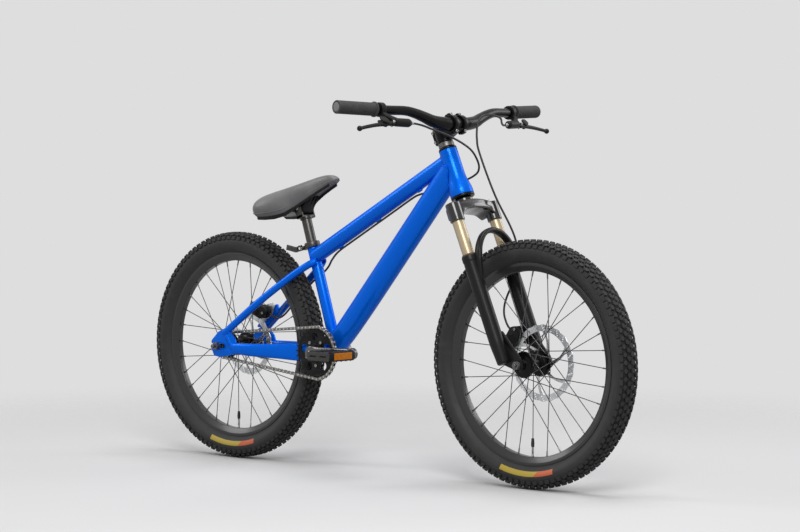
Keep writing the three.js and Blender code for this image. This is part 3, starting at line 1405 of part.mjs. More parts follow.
// Left brake body: a clamp on the handlebar, a web and the cylinder, with ears for the lever
function brakeBodySolid() {
  const half = leverClampWidth / 2;
  const webHalf = brakeWebHeight / 2;
  const cylinderEnd = -leverPivotIn - leverRootRadius - 2 * runningGap;
  const clamp = crossRod(0, 0, -half, half, leverClampRadius);
  const cylinder = crossRod(cylinderForward, 0, cylinderEnd - cylinderLength, cylinderEnd, cylinderRadius);
  const webEnd = leverPivotForward - leverRootRadius - 2 * runningGap;
  const web = block([0, cylinderEnd - 2 * half, -webHalf], [webEnd, half, webHalf]);
  const earLow = leverThickness / 2 + runningGap;
  const ears = [-1, 1].map((side) => {
    const [low, high] = [side * earLow, side * (earLow + leverEarThickness)].sort((a, b) => a - b);
    const round = rod([leverPivot[0], leverPivot[1], low], [leverPivot[0], leverPivot[1], high],
      leverRootRadius);
    const arm = block(
      [webEnd - half, leverPivot[1] - leverRootRadius, low],
      [leverPivot[0], leverPivot[1] + leverRootRadius, high],
    );
    return join(round, arm);
  });
  const pinTop = earLow + leverEarThickness + overrun;
  const pinBore = rod(
    [leverPivot[0], leverPivot[1], -pinTop], [leverPivot[0], leverPivot[1], pinTop],
    cornerRadius(leverPinRadius + seatGap, smallSides), smallSides,
  );
  const barBore = crossRod(
    0, 0, cylinderEnd - cylinderLength, 2 * half, cornerRadius(barEndRadius + seatGap, roundSides),
  );
  return moved(cut(join(clamp, cylinder, web, ...ears), pinBore, barBore), leverFrame);
}

// Left brake lever with its pivot pin and ball end
function brakeLeverSolid() {
  const [pivotX, pivotY] = leverPivot;
  const root = rod([pivotX, pivotY, -leverThickness / 2], [pivotX, pivotY, leverThickness / 2],
    leverRootRadius);
  const pinHalf = leverThickness / 2 + runningGap + leverEarThickness;
  const pin = rod([pivotX, pivotY, -pinHalf], [pivotX, pivotY, pinHalf], leverPinRadius, smallSides);
  const tip = [leverTipForward, leverTipOut, -leverTipDrop];
  const blade = bar(leverShares.map(([out, forward, size]) => [
    [blend(pivotX, tip[0], forward), blend(pivotY, tip[1], out), blend(0, tip[2], out)],
    2 * leverRootRadius * size * leverBladeShare, leverThickness * size,
  ]), [1, 0, 0], smallSides, leverSquareness);
  const ball = new THREE.SphereGeometry(leverTipRadius, smallSides, smallSides / 2);
  ball.translate(...tip);
  return moved(join(root, pin, blade, solidOf(ball)), leverFrame);
}

// Drive: the chain's pins lie on the two pitch circles and on the straight runs between them

function chainLayout() {
  const ring = new THREE.Vector2(crankX, crankHeight);
  const cog = new THREE.Vector2(rearAxleX, wheelCentreHeight);
  const between = ring.clone().sub(cog);
  const ringRadius = pitchRadius(chainringTeeth);
  const cogRadius = pitchRadius(cogTeeth);
  const flare = Math.asin((ringRadius - cogRadius) / between.length());
  const topAngle = between.angle() + Math.PI / 2 + flare;
  const turnOnRing = Math.PI + 2 * flare;
  const bottomAngle = topAngle - turnOnRing;
  const run = (between.length() * Math.cos(flare)) / chainPitch;
  const ringStep = (2 * Math.PI) / chainringTeeth;
  const cogStep = (2 * Math.PI) / cogTeeth;
  const onRing = turnOnRing / ringStep;
  const onCog = (2 * Math.PI - turnOnRing) / cogStep;
  const onCircle = (centre, radius, angle) => (
    { angle, x: centre.x + radius * Math.cos(angle), z: centre.y + radius * Math.sin(angle) }
  );
  const onRun = (angle, share) => {
    const near = onCircle(ring, ringRadius, angle);
    const far = onCircle(cog, cogRadius, angle);
    return { angle, x: blend(near.x, far.x, share), z: blend(near.z, far.z, share) };
  };
  const pinAt = (place) => {
    if (place < onRing) return onCircle(ring, ringRadius, topAngle - place * ringStep);
    const pastRing = place - onRing;
    if (pastRing < run) return onRun(bottomAngle, pastRing / run);
    const pastRun = pastRing - run;
    if (pastRun < onCog) return onCircle(cog, cogRadius, bottomAngle - pastRun * cogStep);
    return onRun(topAngle, 1 - (pastRun - onCog) / run);
  };
  const length = onRing + onCog + 2 * run;
  const pins = Array.from({ length: chainLinks }, (_, i) => pinAt((i * length) / chainLinks));
  const firstOnCog = Math.ceil(((onRing + run) * chainLinks) / length);
  return { pins, ringPhase: pins[0].angle, cogPhase: pins[firstOnCog].angle };
}

const chainMap = chainLayout();

function chainSolid() {
  // The plates turn a corner at each pin that doesn't lie within a straight run
  const corners = chainMap.pins.filter(({ angle }, i, pins) => (
    angle !== pins.at(i - 1).angle || angle !== pins[(i + 1) % pins.length].angle
  ));
  const offset = (distance) => corners.map(({ x, z, angle }) => [
    x + distance * Math.cos(angle), z + distance * Math.sin(angle),
  ]);
  const half = chainInnerWidth / 2;
  const loops = [-1, 1].map((side) => {
    const [low, high] = [side * half, side * (half + chainPlateThickness)].sort((a, b) => a - b);
    return plate(offset(chainPlateHalfHeight), chainlineY + low, chainlineY + high,
      [offset(-chainPlateHalfHeight)]);
  });
  const reach = half + chainPlateThickness / 2;
  const pins = chainMap.pins.filter((_, i) => i % chainPinEvery === 0).map(({ x, z }) => (
    crossRod(x, z, chainlineY - reach, chainlineY + reach, chainPinRadius, rollerSides)
  ));
  return join(...loops, ...pins);
}

// Toothed plate about its own axis; a roller sits at the phase angle
function sprocket(teeth, phase, holes) {
  const step = (2 * Math.PI) / teeth;
  const root = pitchRadius(teeth) - toothRootDepth;
  const top = pitchRadius(teeth) + toothTopHeight;
  const outline = [];
  for (let i = 0; i < teeth; i++) {
    const gap = phase + i * step;
    const tooth = gap + step / 2;
    const corners = [[root, gap + toothRootHalf / root], [top, tooth - toothTopHalf / top],
      [top, tooth + toothTopHalf / top], [root, gap + step - toothRootHalf / root]];
    corners.forEach(([radius, angle]) => outline.push([radius * Math.cos(angle), radius * Math.sin(angle)]));
  }
  return plate(outline, chainlineY - toothThickness / 2, chainlineY + toothThickness / 2, holes);
}

function chainringSolid() {
  const bore = circlePoints(0, 0, cornerRadius(chainringBore, roundSides), roundSides);
  const openings = Array.from({ length: chainringHoles }, (_, i) => {
    const angle = (2 * Math.PI * i) / chainringHoles;
    const x = chainringHoleCircle * Math.cos(angle);
    return circlePoints(x, chainringHoleCircle * Math.sin(angle), chainringHoleRadius, smallSides);
  });
  return sprocket(chainringTeeth, chainMap.ringPhase - radians(crankTilt), [bore, ...openings]);
}

// Freewheel body with its cog
function cogSolid() {
  const inner = rearShellRight - runningGap;
  const bore = boreOf(axleRadius);
  const driver = turned([[bore, driverEndY], [driverRadius, driverEndY], [driverRadius, inner],
    [bore, inner]]);
  const centre = circlePoints(0, 0, driverRadius - frameWall, roundSides);
  return join(sprocket(cogTeeth, chainMap.cogPhase, [centre]), driver);
}

// Cranks, in a frame about the crank axis whose X runs along the forward arm

const crankEndY = crankInnerY + crankBossWidth;
const spindleEnd = crankEndY - spindleCap;
const crankTipY = crankInnerY + crankFlare;

function spindleSolid() {
  return crossRod(0, 0, -spindleEnd, spindleEnd, spindleRadius);
}

// Right arm, with the boss that carries the chainring and the axle that carries the pedal
function crankArmSolid() {
  const shoulder = chainlineY - toothThickness / 2 - seatGap;
  const nose = -(shellWidth / 2 + 2 * seatGap + cartridgeLip + runningGap);
  const boss = crossRod(0, 0, -crankEndY, -crankInnerY, crankBossRadius);
  const seat = crossRod(0, 0, -crankInnerY, shoulder, chainringShoulderRadius);
  const spigot = crossRod(0, 0, shoulder, nose, cornerRadius(chainringBore, roundSides) - seatGap);
  const rootY = -(crankInnerY + crankBossWidth / 2);
  const tipY = -(crankTipY + crankEndWidth / 2);
  const arm = bar([
    [[0, rootY, 0], crankBossWidth, crankRootHeight],
    [[crankLength * crankBendShare, blend(rootY, tipY, crankBendShare / 2), 0], crankEndWidth,
    crankArmHeight],
    [[crankLength, tipY, 0], crankEndWidth, crankArmHeight],
  ], [0, 1, 0], smallSides, staySquareness);
  const eye = crossRod(crankLength, 0, -crankTipY - crankEndWidth, -crankTipY, crankPedalBossRadius);
  const axleEnd = -(pedalCentreY + pedalWidth / 2 - pedalEndWall - runningGap);
  const axle = crossRod(crankLength, 0, axleEnd, -crankTipY, pedalAxleRadius, smallSides);
  const bore = crossRod(0, 0, -spindleEnd - seatGap, nose + overrun, spindleRadius + seatGap);
  return cut(join(boss, seat, spigot, arm, eye, axle), bore);
}

// Right pedal about its axle: a cage with a core, two windows and a closed outer end
function pedalSolid() {
  const inner = pedalCentreY - pedalWidth / 2;
  const outer = pedalCentreY + pedalWidth / 2;
  const halfLength = pedalLength / 2;
  const halfHeight = pedalHeight / 2;
  const body = block([-halfLength, -outer, -halfHeight], [halfLength, -inner, halfHeight]);
  const windows = [-1, 1].map((side) => {
    const [low, high] = [side * (pedalCoreWidth / 2),
      side * (halfLength - pedalBarWidth)].sort((a, b) => a - b);
    return block(
      [low, -outer + pedalBarWidth, -halfHeight - overrun],
      [high, -inner - pedalBarWidth, halfHeight + overrun],
    );
  });
  const bore = crossRod(0, 0, -outer + pedalEndWall, -inner + overrun, boreOf(pedalAxleRadius, smallSides),
    smallSides);
  return cut(body, ...windows, bore);
}

// The bike, put together

function groupAt(parent, position, turn = 0) {
  const group = new THREE.Group();
  group.position.set(...position);
  group.rotation.y = turn;
  parent.add(group);
  return group;
}

const bike = new THREE.Group();
const steering = groupAt(bike, steeringFoot, steeringLean);
const seat = groupAt(bike, seatAxisFoot, seatLean);

// Main frame
addPiece(steering, "head_tube", headTubeSolid(), finishes.frameBlue);
addPiece(bike, "top_tube", topTubeSolid(), finishes.frameBlue);
addPiece(bike, "down_tube", downTubeSolid(), finishes.frameBlue);
addPiece(bike, "seat_tube", seatTubeSolid(), finishes.frameBlue);
addPiece(bike, "left_chainstay", chainstaySolid(), finishes.frameBlue);
addPiece(bike, "right_chainstay", mirrored(chainstaySolid()), finishes.frameBlue);
addPiece(bike, "left_seatstay", leftSeatstaySolid(), finishes.frameBlue);
addPiece(bike, "right_seatstay", mirrored(seatstaySolid()), finishes.frameBlue);
addPiece(bike, "rear_brake_adapter", adapterSolid(), finishes.silver);
const rearCaliper = groupAt(bike, [0, 0, 0]);
const rearCaliperTurn = rearCaliperAngle + THREE.MathUtils.radToDeg(stayAngle);
rearCaliper.applyMatrix4(caliperPlace(rearCaliperTurn, rearCaliperReach, rearAxleX, wheelCentreHeight));
addPiece(rearCaliper, "rear_brake_caliper", caliperSolid(rearCaliperReach, rearRotorRadius),
  finishes.matteBlack);
addPiece(steering, "headset_upper_cup", upperCupSolid(), finishes.blackPaint);
addPiece(steering, "headset_lower_cup", lowerCupSolid(), finishes.blackPaint);

// Cranks and chain
const cranks = groupAt(bike, [crankX, 0, crankHeight]);
addPiece(cranks, "bottom_bracket_shell", shellSolid(), finishes.frameBlue);
addPiece(cranks, "bottom_bracket_cartridge", cartridgeSolid(), finishes.steel);
const turningCranks = groupAt(cranks, [0, 0, 0], -radians(crankTilt));
addPiece(turningCranks, "crank_spindle", spindleSolid(), finishes.steel);
addPiece(turningCranks, "right_crank_arm", crankArmSolid(), finishes.steel);
addPiece(turningCranks, "chainring", chainringSolid(), finishes.blackPaint);
const rearwardArm = groupAt(turningCranks, [0, 0, 0], Math.PI);
addPiece(rearwardArm, "left_crank_arm", mirrored(crankArmSolid()), finishes.steel);
const rightPedal = groupAt(turningCranks, [crankLength, 0, 0], radians(crankTilt));
addPiece(rightPedal, "right_pedal", pedalSolid(), finishes.matteBlack);
const leftPedal = groupAt(turningCranks, [-crankLength, 0, 0], radians(crankTilt));
addPiece(leftPedal, "left_pedal", mirrored(pedalSolid()), finishes.matteBlack);
addPiece(bike, "chain", chainSolid(), finishes.steel);

// Rear wheel
const rearWheel = groupAt(bike, [rearAxleX, 0, wheelCentreHeight]);
addWheel(rearWheel, "rear", hubSolid(rearShellRight, rearShellLeft, rearRightFlangeY), rearRotorRadius,
  rearRightFlangeY);
addPiece(rearWheel, "freewheel_cog", cogSolid(), finishes.steel);
addPiece(
  rearWheel, "rear_axle",
  axleSolid(rearAxleLength, rearHubWidth, rearShellLeft, driverEndY, rearDropoutThickness,
    rearAxleNutThickness),
  finishes.steel,
);

// Seat
addPiece(seat, "seat_clamp_collar", seatCollarSolid(), finishes.gunmetal);
const clampMiddle = seatTubeLength + collarAboveTube - collarHeight / 2;
const clampLever = groupAt(seat, [clampPinX(), -clampPinLength / 2, clampMiddle]);
addPiece(clampLever, "seat_clamp_lever", clampLeverSolid(), finishes.gunmetal);
addPiece(seat, "seatpost", seatpostSolid(), finishes.gunmetal);
const saddle = groupAt(bike, onSeatAxis(pivotHeight), -radians(saddleTilt));
addPiece(saddle, "saddle_base", saddleBaseSolid(), finishes.plastic);
addPiece(saddle, "saddle_pad", saddlePadSolid(), finishes.vinyl);

// Fork
addPiece(steering, "fork_crown_and_steerer", crownSolid(), finishes.blackPaint);
addPiece(groupAt(steering, [legOffset, legPlaces[1], 0]), "left_stanchion", stanchionSolid(), finishes.gold);
addPiece(groupAt(steering, [legOffset, legPlaces[0], 0]), "right_stanchion", stanchionSolid(), finishes.gold);
const knob = groupAt(steering, [legOffset, legPlaces[1], socketTop]);
addPiece(knob, "fork_adjuster_knob", knobSolid(), finishes.plastic);
addPiece(steering, "fork_lowers", lowersSolid(), finishes.blackPaint);
const frontCaliper = groupAt(steering, [0, 0, 0]);
frontCaliper.applyMatrix4(frontCaliperMatrix);
addPiece(frontCaliper, "front_brake_caliper", caliperSolid(frontCaliperReach, frontRotorRadius),
  finishes.matteBlack);

// Front wheel, turned back so that its flats face the ground
const frontWheel = groupAt(steering, [forkOffset, 0, 0], -steeringLean);
const frontShellEnd = frontHubWidth / 2 - hubShellSetback;
addWheel(frontWheel, "front", hubSolid(-frontShellEnd, frontShellEnd, rightFlangeY), frontRotorRadius,
  rightFlangeY);
addPiece(
  frontWheel, "front_axle",
  axleSolid(frontAxleLength, frontHubWidth, frontShellEnd, -frontShellEnd, dropoutThickness,
    frontAxleNutThickness),
  finishes.steel,
);

// Stem, handlebar and controls
addPiece(steering, "headset_spacer", headsetSpacerSolid(), finishes.silver);
addPiece(steering, "stem", stemSolid(), finishes.blackPaint);
addPiece(steering, "stem_faceplate", faceplateSolid(), finishes.blackPaint);
addPiece(steering, "steerer_top_cap", topCapSolid(), finishes.blackPaint);
addPiece(steering, "handlebar", handlebarSolid(), finishes.blackPaint);
addPiece(steering, "left_grip", gripSolid(), finishes.grip);
addPiece(steering, "right_grip", mirrored(gripSolid()), finishes.grip);
addPiece(steering, "left_brake_body", brakeBodySolid(), finishes.matteBlack);
addPiece(steering, "right_brake_body", mirrored(brakeBodySolid()), finishes.matteBlack);
addPiece(steering, "left_brake_lever", brakeLeverSolid(), finishes.matteBlack);
addPiece(steering, "right_brake_lever", mirrored(brakeLeverSolid()), finishes.matteBlack);

// Brake hoses, each along the parts that carry it
function hoseNearLever(side) {
  return ([ahead, inboard, height]) => onSteeringAxis(height, ahead, side * (leverStation - inboard));
}

function hoseNearSteerer([ahead, left, height]) {
  return onSteeringAxis(height, ahead, left);
}

const topTubeWay = new THREE.Vector3(...topTubeTail).sub(new THREE.Vector3(...headSeat)).normalize();

function hoseNearTopTube([share, left, below]) {
  const [x, , z] = pointBetween(headSeat, topTubeTail, share);
  return [x - below * topTubeWay.z, left, z + below * topTubeWay.x];
}

function hoseNearStay([along, left, up]) {
  return [blend(rearAxleX, topTubeTail[0], along), left, blend(wheelCentreHeight, topTubeTail[2], up)];
}

function hoseNearBrake([along, left, above]) {
  const [x, z] = alongStay(along, above);
  return [x, left, z];
}

const rearHoseRoute = [
  ...rearHoseByLever.map(hoseNearLever(-1)), ...rearHoseBySteerer.map(hoseNearSteerer),
  ...rearHoseByTopTube.map(hoseNearTopTube), ...rearHoseByStay.map(hoseNearStay),
  ...rearHoseByBrake.map(hoseNearBrake),
];
const frontHoseRoute = [
  ...frontHoseByLever.map(hoseNearLever(1)), ...frontHoseBySteerer.map(hoseNearSteerer),
];
addPiece(bike, "rear_brake_hose", hoseSolid(rearHoseRoute, rearHoseSteps), finishes.rubber);
addPiece(bike, "front_brake_hose", hoseSolid(frontHoseRoute, frontHoseSteps), finishes.rubber);

export default bike;
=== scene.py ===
# A dirt jump bike: a low aluminium frame, a suspension fork, disc brakes and one gear.
# Sizes are in millimetres and become metres as each mesh is made.
# X points forwards, Y to the bike's left and Z up, with the origin on the ground between the wheels.
import math

import bmesh
import bpy
import numpy as np
from mathutils import Matrix, Vector


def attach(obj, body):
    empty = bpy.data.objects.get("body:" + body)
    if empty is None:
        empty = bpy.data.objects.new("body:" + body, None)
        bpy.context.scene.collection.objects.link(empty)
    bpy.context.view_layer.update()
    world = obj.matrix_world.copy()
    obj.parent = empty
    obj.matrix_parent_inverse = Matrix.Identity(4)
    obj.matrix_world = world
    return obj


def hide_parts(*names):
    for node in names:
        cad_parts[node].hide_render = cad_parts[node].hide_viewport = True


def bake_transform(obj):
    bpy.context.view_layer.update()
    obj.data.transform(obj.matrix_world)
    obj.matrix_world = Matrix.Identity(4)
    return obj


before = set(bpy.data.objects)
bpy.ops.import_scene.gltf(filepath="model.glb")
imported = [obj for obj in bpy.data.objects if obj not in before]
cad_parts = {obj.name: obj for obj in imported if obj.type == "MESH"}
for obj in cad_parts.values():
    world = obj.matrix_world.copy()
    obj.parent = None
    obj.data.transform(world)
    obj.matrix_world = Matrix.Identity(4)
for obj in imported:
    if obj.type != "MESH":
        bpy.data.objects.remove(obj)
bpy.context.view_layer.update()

# ---------------------------------------------------------------- Studio
# A pale floor that fades into an even grey background, as in a product photograph.
# Four large soft lamps and the world light the bike, and the floor keeps its shadow.

backdrop_grey = (0.73, 0.73, 0.735, 1)
floor_seen, floor_bounce = (0.62, 0.62, 0.625, 1), (0.2, 0.2, 0.2, 1)
floor_half, floor_drop = 6, 0.0015
fade_start, fade_end = 1.0, 2.6  # metres from the middle, where the floor passes into the background
lamp_target = (0, 0, 0.4)


def join_nodes(tree, *links):
    """Links from one node's output to another's input."""
    for source, output, target, socket in links:
        tree.links.new(source.outputs[output], target.inputs[socket])


def seen_or_mirrored(tree):
    """A node with 1 for rays from the camera, a mirror or glass, and 0 for the light that falls on the bike."""
    path, first, either = (tree.nodes.new("ShaderNode" + kind) for kind in ("LightPath", "Math", "Math"))
    first.operation = either.operation = "MAXIMUM"
    join_nodes(tree, (path, "Is Camera Ray", first, 0), (path, "Is Glossy Ray", first, 1), (first, 0, either, 0),
               (path, "Is Transmission Ray", either, 1))
    return either


world = bpy.data.worlds.new("studio_world")
bpy.context.scene.world = world
world.use_nodes = True
air = world.node_tree
air.nodes.clear()
air_output, air_mix, air_light, air_seen = (
    air.nodes.new("ShaderNode" + kind) for kind in ("OutputWorld", "MixShader", "Background", "Background"))
air_light.inputs["Color"].default_value = (1, 1, 1, 1)
air_light.inputs["Strength"].default_value = 0.24
air_seen.inputs["Color"].default_value = backdrop_grey
join_nodes(air, (seen_or_mirrored(air), 0, air_mix, 0), (air_light, 0, air_mix, 1), (air_seen, 0, air_mix, 2),
           (air_mix, 0, air_output, "Surface"))

lamp_places = [  # place, width, power
    ("key_lamp", (2.8, -3.0, 3.4), 2.2, 140),
    ("fill_lamp", (-3.8, -2.2, 2.8), 2.0, 50),
    ("top_lamp", (0.2, 0.2, 4.4), 3.0, 105),
    ("back_lamp", (1.8, 4.0, 2.4), 2.2, 45),
]
for lamp_name, lamp_place, lamp_width, lamp_power in lamp_places:
    lamp_data = bpy.data.lights.new(lamp_name, "AREA")
    lamp_data.shape = "DISK"
    lamp_data.size = lamp_width
    lamp_data.energy = lamp_power
    lamp = bpy.data.objects.new(lamp_name, lamp_data)
    lamp.location = lamp_place
    lamp.rotation_euler = (Vector(lamp_target) - Vector(lamp_place)).to_track_quat("-Z", "Y").to_euler()
    bpy.context.scene.collection.objects.link(lamp)

camera_data = bpy.data.cameras.new("camera")
camera_data.lens = 113.38
camera_data.sensor_width = 36
camera = bpy.data.objects.new("camera", camera_data)
camera.location = (4.09826, -4.53999, 0.75103)
camera_target = Vector((0.070877, 0, 0.503118))
camera.rotation_euler = (camera_target - camera.location).to_track_quat("-Z", "Y").to_euler()
bpy.context.scene.collection.objects.link(camera)
bpy.context.scene.camera = camera
bpy.context.scene.view_settings.view_transform = "Standard"

floor_mesh = bpy.data.meshes.new("studio_floor")
floor_corners = [(x * floor_half, y * floor_half, -floor_drop) for x, y in ((-1, -1), (1, -1), (1, 1), (-1, 1))]
floor_mesh.from_pydata(floor_corners, [], [(0, 1, 2, 3)])
floor = bpy.data.objects.new("studio_floor", floor_mesh)
bpy.context.scene.collection.objects.link(floor)
floor_material = bpy.data.materials.new("studio_floor")
floor_material.use_nodes = True
ground = floor_material.node_tree
ground_shader, ground_output = ground.nodes["Principled BSDF"], ground.nodes["Material Output"]
ground_colour, ground_mix, ground_clear, ground_place, ground_length, ground_fade = (
    ground.nodes.new("ShaderNode" + kind)
    for kind in ("Mix", "MixShader", "BsdfTransparent", "TexCoord", "VectorMath", "MapRange"))
ground_colour.data_type = "RGBA"
ground_colour.inputs[6].default_value = floor_bounce
ground_colour.inputs[7].default_value = floor_seen
ground_shader.inputs["Roughness"].default_value = 0.85
ground_length.operation = "LENGTH"
ground_fade.interpolation_type = "SMOOTHSTEP"
ground_fade.inputs["From Min"].default_value = fade_start
ground_fade.inputs["From Max"].default_value = fade_end
join_nodes(ground, (seen_or_mirrored(ground), 0, ground_colour, 0), (ground_colour, 2, ground_shader, "Base Color"),
           (ground_place, "Object", ground_length, 0), (ground_length, "Value", ground_fade, "Value"),
           (ground_fade, 0, ground_mix, 0), (ground_shader, 0, ground_mix, 1), (ground_clear, 0, ground_mix, 2),
           (ground_mix, 0, ground_output, "Surface"))
floor_mesh.materials.append(floor_material)

# ---------------------------------------------------------------- Frame
# Welded aluminium tubes with a glossy metallic blue paint under a clear coat.
# The tubes end in saddles on their neighbours, where rows of small weld beads hold them.

MM = 0.001


class Wire:
    """One output in a finish. Sums, products and comparisons of it add Math nodes."""

    def __init__(self, finish, socket):
        self.finish, self.socket = finish, socket

    def _math(self, operation, first, second):
        return self.finish.node("ShaderNodeMath", {"operation": operation}, {0: first, 1: second})

    def __add__(self, other):
        return self._math("ADD", self, other)

    def __radd__(self, other):
        return self._math("ADD", other, self)

    def __sub__(self, other):
        return self._math("SUBTRACT", self, other)

    def __rsub__(self, other):
        return self._math("SUBTRACT", other, self)

    def __mul__(self, other):
        return self._math("MULTIPLY", self, other)

    def __rmul__(self, other):
        return self._math("MULTIPLY", other, self)

    def __gt__(self, other):
        return self._math("GREATER_THAN", self, other)

    def __lt__(self, other):
        return self._math("LESS_THAN", self, other)

    def __abs__(self):
        return self._math("ABSOLUTE", self, 0)


class Finish:
    """A material in the making."""

    def __init__(self, name, **fixed):
        self.material = bpy.data.materials.new(name)
        self.material.use_nodes = True
        self.tree = self.material.node_tree
        self.shader = self.tree.nodes["Principled BSDF"]
        self.place = self.node("ShaderNodeTexCoord", out="Object")
        for socket, value in fixed.items():
            self.shader.inputs[socket.replace("_", " ")].default_value = value

    def node(self, kind, settings=None, values=None, out=0):
        """A node of any kind. Its settings are set first, and then its sockets are filled or linked."""
        made = self.tree.nodes.new(kind)
        for key, value in (settings or {}).items():
            setattr(made, key, value)
        for key, value in (values or {}).items():
            self.feed(made.inputs[key], value)
        return Wire(self, made.outputs[out])

    def feed(self, socket, value):
        if isinstance(value, Wire):
            self.tree.links.new(value.socket, socket)
        else:
            socket.default_value = value

    def show(self, **values):
        for socket, value in values.items():
            self.feed(self.shader.inputs[socket.replace("_", " ")], value)

    def noise(self, scale, detail, roughness=0.5):
        values = {"Vector": self.place, "Scale": scale, "Detail": detail, "Roughness": roughness}
        return self.node("ShaderNodeTexNoise", {}, values)

    def between(self, value, low, high):
        """From 0 at the low value to 1 at the high one."""
        values = {"Value": value, "From Min": low, "From Max": high}
        return self.node("ShaderNodeMapRange", {"interpolation_type": "SMOOTHSTEP"}, values)

    def tint(self, mask, first, second):
        """The first colour where the mask is 0 and the second where it is 1."""
        return self.node("ShaderNodeMix", {"data_type": "RGBA"}, {0: mask, 6: first, 7: second}, out=2)

    def relief(self, height, strength, distance=0.001):
        values = {"Height": height, "Strength": strength, "Distance": distance}
        self.show(Normal=self.node("ShaderNodeBump", {}, values))

    def axes(self):
        """The three coordinates of the object, in metres."""
        parts = self.node("ShaderNodeSeparateXYZ", {}, {0: self.place})
        return [Wire(self, output) for output in parts.socket.node.outputs]


def frame_paint():
    """Metallic blue with fine flakes, a faint cloud and small scuffs."""
    paint = Finish("blue_frame_paint", Metallic=0.3, Coat_Weight=0.08, Coat_Roughness=0.1, Specular_IOR_Level=0.04)
    flakes = paint.noise(2600, 1)
    cloud = paint.noise(9, 2)
    deep, bright = (0.0, 0.115, 0.70, 1), (0.0, 0.175, 0.95, 1)
    base = paint.tint(paint.between(flakes, 0.35, 0.7), deep, bright)
    paint.show(Base_Color=paint.tint(cloud * 0.3, base, (0.0, 0.13, 0.78, 1)))
    scuffs = paint.between(paint.noise(60, 6, 0.7), 0.62, 0.8)
    paint.show(Roughness=0.26 + scuffs * 0.12 + flakes * 0.05)
    paint.relief(paint.noise(420, 2) + flakes * 0.15, 0.012, 0.0004)
    return paint.material


blue_paint = frame_paint()


def upright(origin, ahead=(1, 0, 0)):
    """A frame whose X points ahead in the bike's middle plane, Y to its left and Z up."""
    x, y = Vector(ahead).normalized(), Vector((0, 1, 0))
    made = Matrix((x, y, x.cross(y))).transposed().to_4x4()
    made.translation = Vector(origin)
    return made


def linked(name, data):
    """A new object in the scene, at the origin."""
    made = bpy.data.objects.new(name, data)
    bpy.context.scene.collection.objects.link(made)
    return made


def new_piece(name, points, faces, finish, place=Matrix(), crease=32):
    """Points in millimetres and their faces, as a closed smooth mesh with sharp creases."""
    mesh = bpy.data.meshes.new(name)
    mesh.from_pydata([(place @ Vector(point)) * MM for point in points], [], faces)
    work = bmesh.new()
    work.from_mesh(mesh)
    bmesh.ops.remove_doubles(work, verts=work.verts, dist=2e-6)
    bmesh.ops.recalc_face_normals(work, faces=work.faces)
    work.to_mesh(mesh)
    work.free()
    mesh.shade_smooth()
    mesh.set_sharp_from_angle(angle=math.radians(crease))
    mesh.materials.append(finish)
    return linked(name, mesh)


def skinned(name, rings, finish, place=Matrix(), loop=False, crease=32):
    """Rings of equally many points, skinned, and closed at both ends or on themselves."""
    count, sides = len(rings), len(rings[0])
    faces = []
    for i in range(count if loop else count - 1):
        low, high = i * sides, ((i + 1) % count) * sides
        faces += [(low + k, low + (k + 1) % sides, high + (k + 1) % sides, high + k) for k in range(sides)]
    if not loop:
        faces += [tuple(range(sides)), tuple(range((count - 1) * sides, count * sides))]
    return new_piece(name, [point for ring in rings for point in ring], faces, finish, place, crease)


def softened(outline, radius, closed=True, steps=3):
    """The outline with its corners rounded off."""
    points = [np.array(point, float) for point in outline]
    soft = []
    for i, corner in enumerate(points):
        if not closed and i in (0, len(points) - 1):
            soft.append(tuple(corner))
            continue
        before, after = points[i - 1] - corner, points[(i + 1) % len(points)] - corner
        near, far = np.linalg.norm(before), np.linalg.norm(after)
        if min(near, far) < 1e-6:
            soft.append(tuple(corner))
            continue
        size = min(radius, near * 0.45, far * 0.45)
        start, end = corner + before / near * size, corner + after / far * size
        for share in np.linspace(0, 1, steps + 1):
            soft.append(tuple((1 - share) ** 2 * start + 2 * share * (1 - share) * corner + share ** 2 * end))
    return soft


def turned(name, profile, finish, place=Matrix(), axis="Z", sides=72, soft=0.6, crease=32, closed=None):
    """A profile of (radius, height) pairs turned about an axis."""
    closed = profile[0][0] > 0 and profile[-1][0] > 0 if closed is None else closed
    outline = softened(profile, soft, closed) if soft else profile
    rings = []
    for radius, height in outline:
        ring = []
        for k in range(sides):
            angle = 2 * math.pi * k / sides
            across, along = radius * math.cos(angle), radius * math.sin(angle)
            ring.append((across, along, height) if axis == "Z" else (across, height, along))
        rings.append(ring)
    return skinned(name, rings, finish, place, loop=closed, crease=crease)


def section(centre, across, upward, width, height, sides, squareness):
    """A closed section: an oval where squareness is 1, nearer to a rectangle below it."""
    ring = []
    for k in range(sides):
        angle = 2 * math.pi * (k + 0.5) / sides
        wide = math.copysign(abs(math.cos(angle)) ** squareness, math.cos(angle)) * width / 2
        tall = math.copysign(abs(math.sin(angle)) ** squareness, math.sin(angle)) * height / 2
        ring.append(np.array(centre) + wide * np.array(across) + tall * np.array(upward))
    return ring


def eased(stations, steps=6):
    """Stations with more of them put between on a smooth curve."""
    rows = np.array([np.hstack([np.ravel(part) for part in station]) for station in stations], float)
    padded = np.vstack([2 * rows[0] - rows[1], rows, 2 * rows[-1] - rows[-2]])
    out = []
    for i in range(1, len(padded) - 2):
        a, b, c, d = padded[i - 1:i + 3]
        for t in np.arange(steps) / steps:
            out.append(0.5 * (2 * b + (c - a) * t + (2 * a - 5 * b + 4 * c - d) * t ** 2
                              + (3 * b - a - 3 * c + d) * t ** 3))
    out.append(rows[-1])
    return [(row[:3], *row[3:]) for row in out]


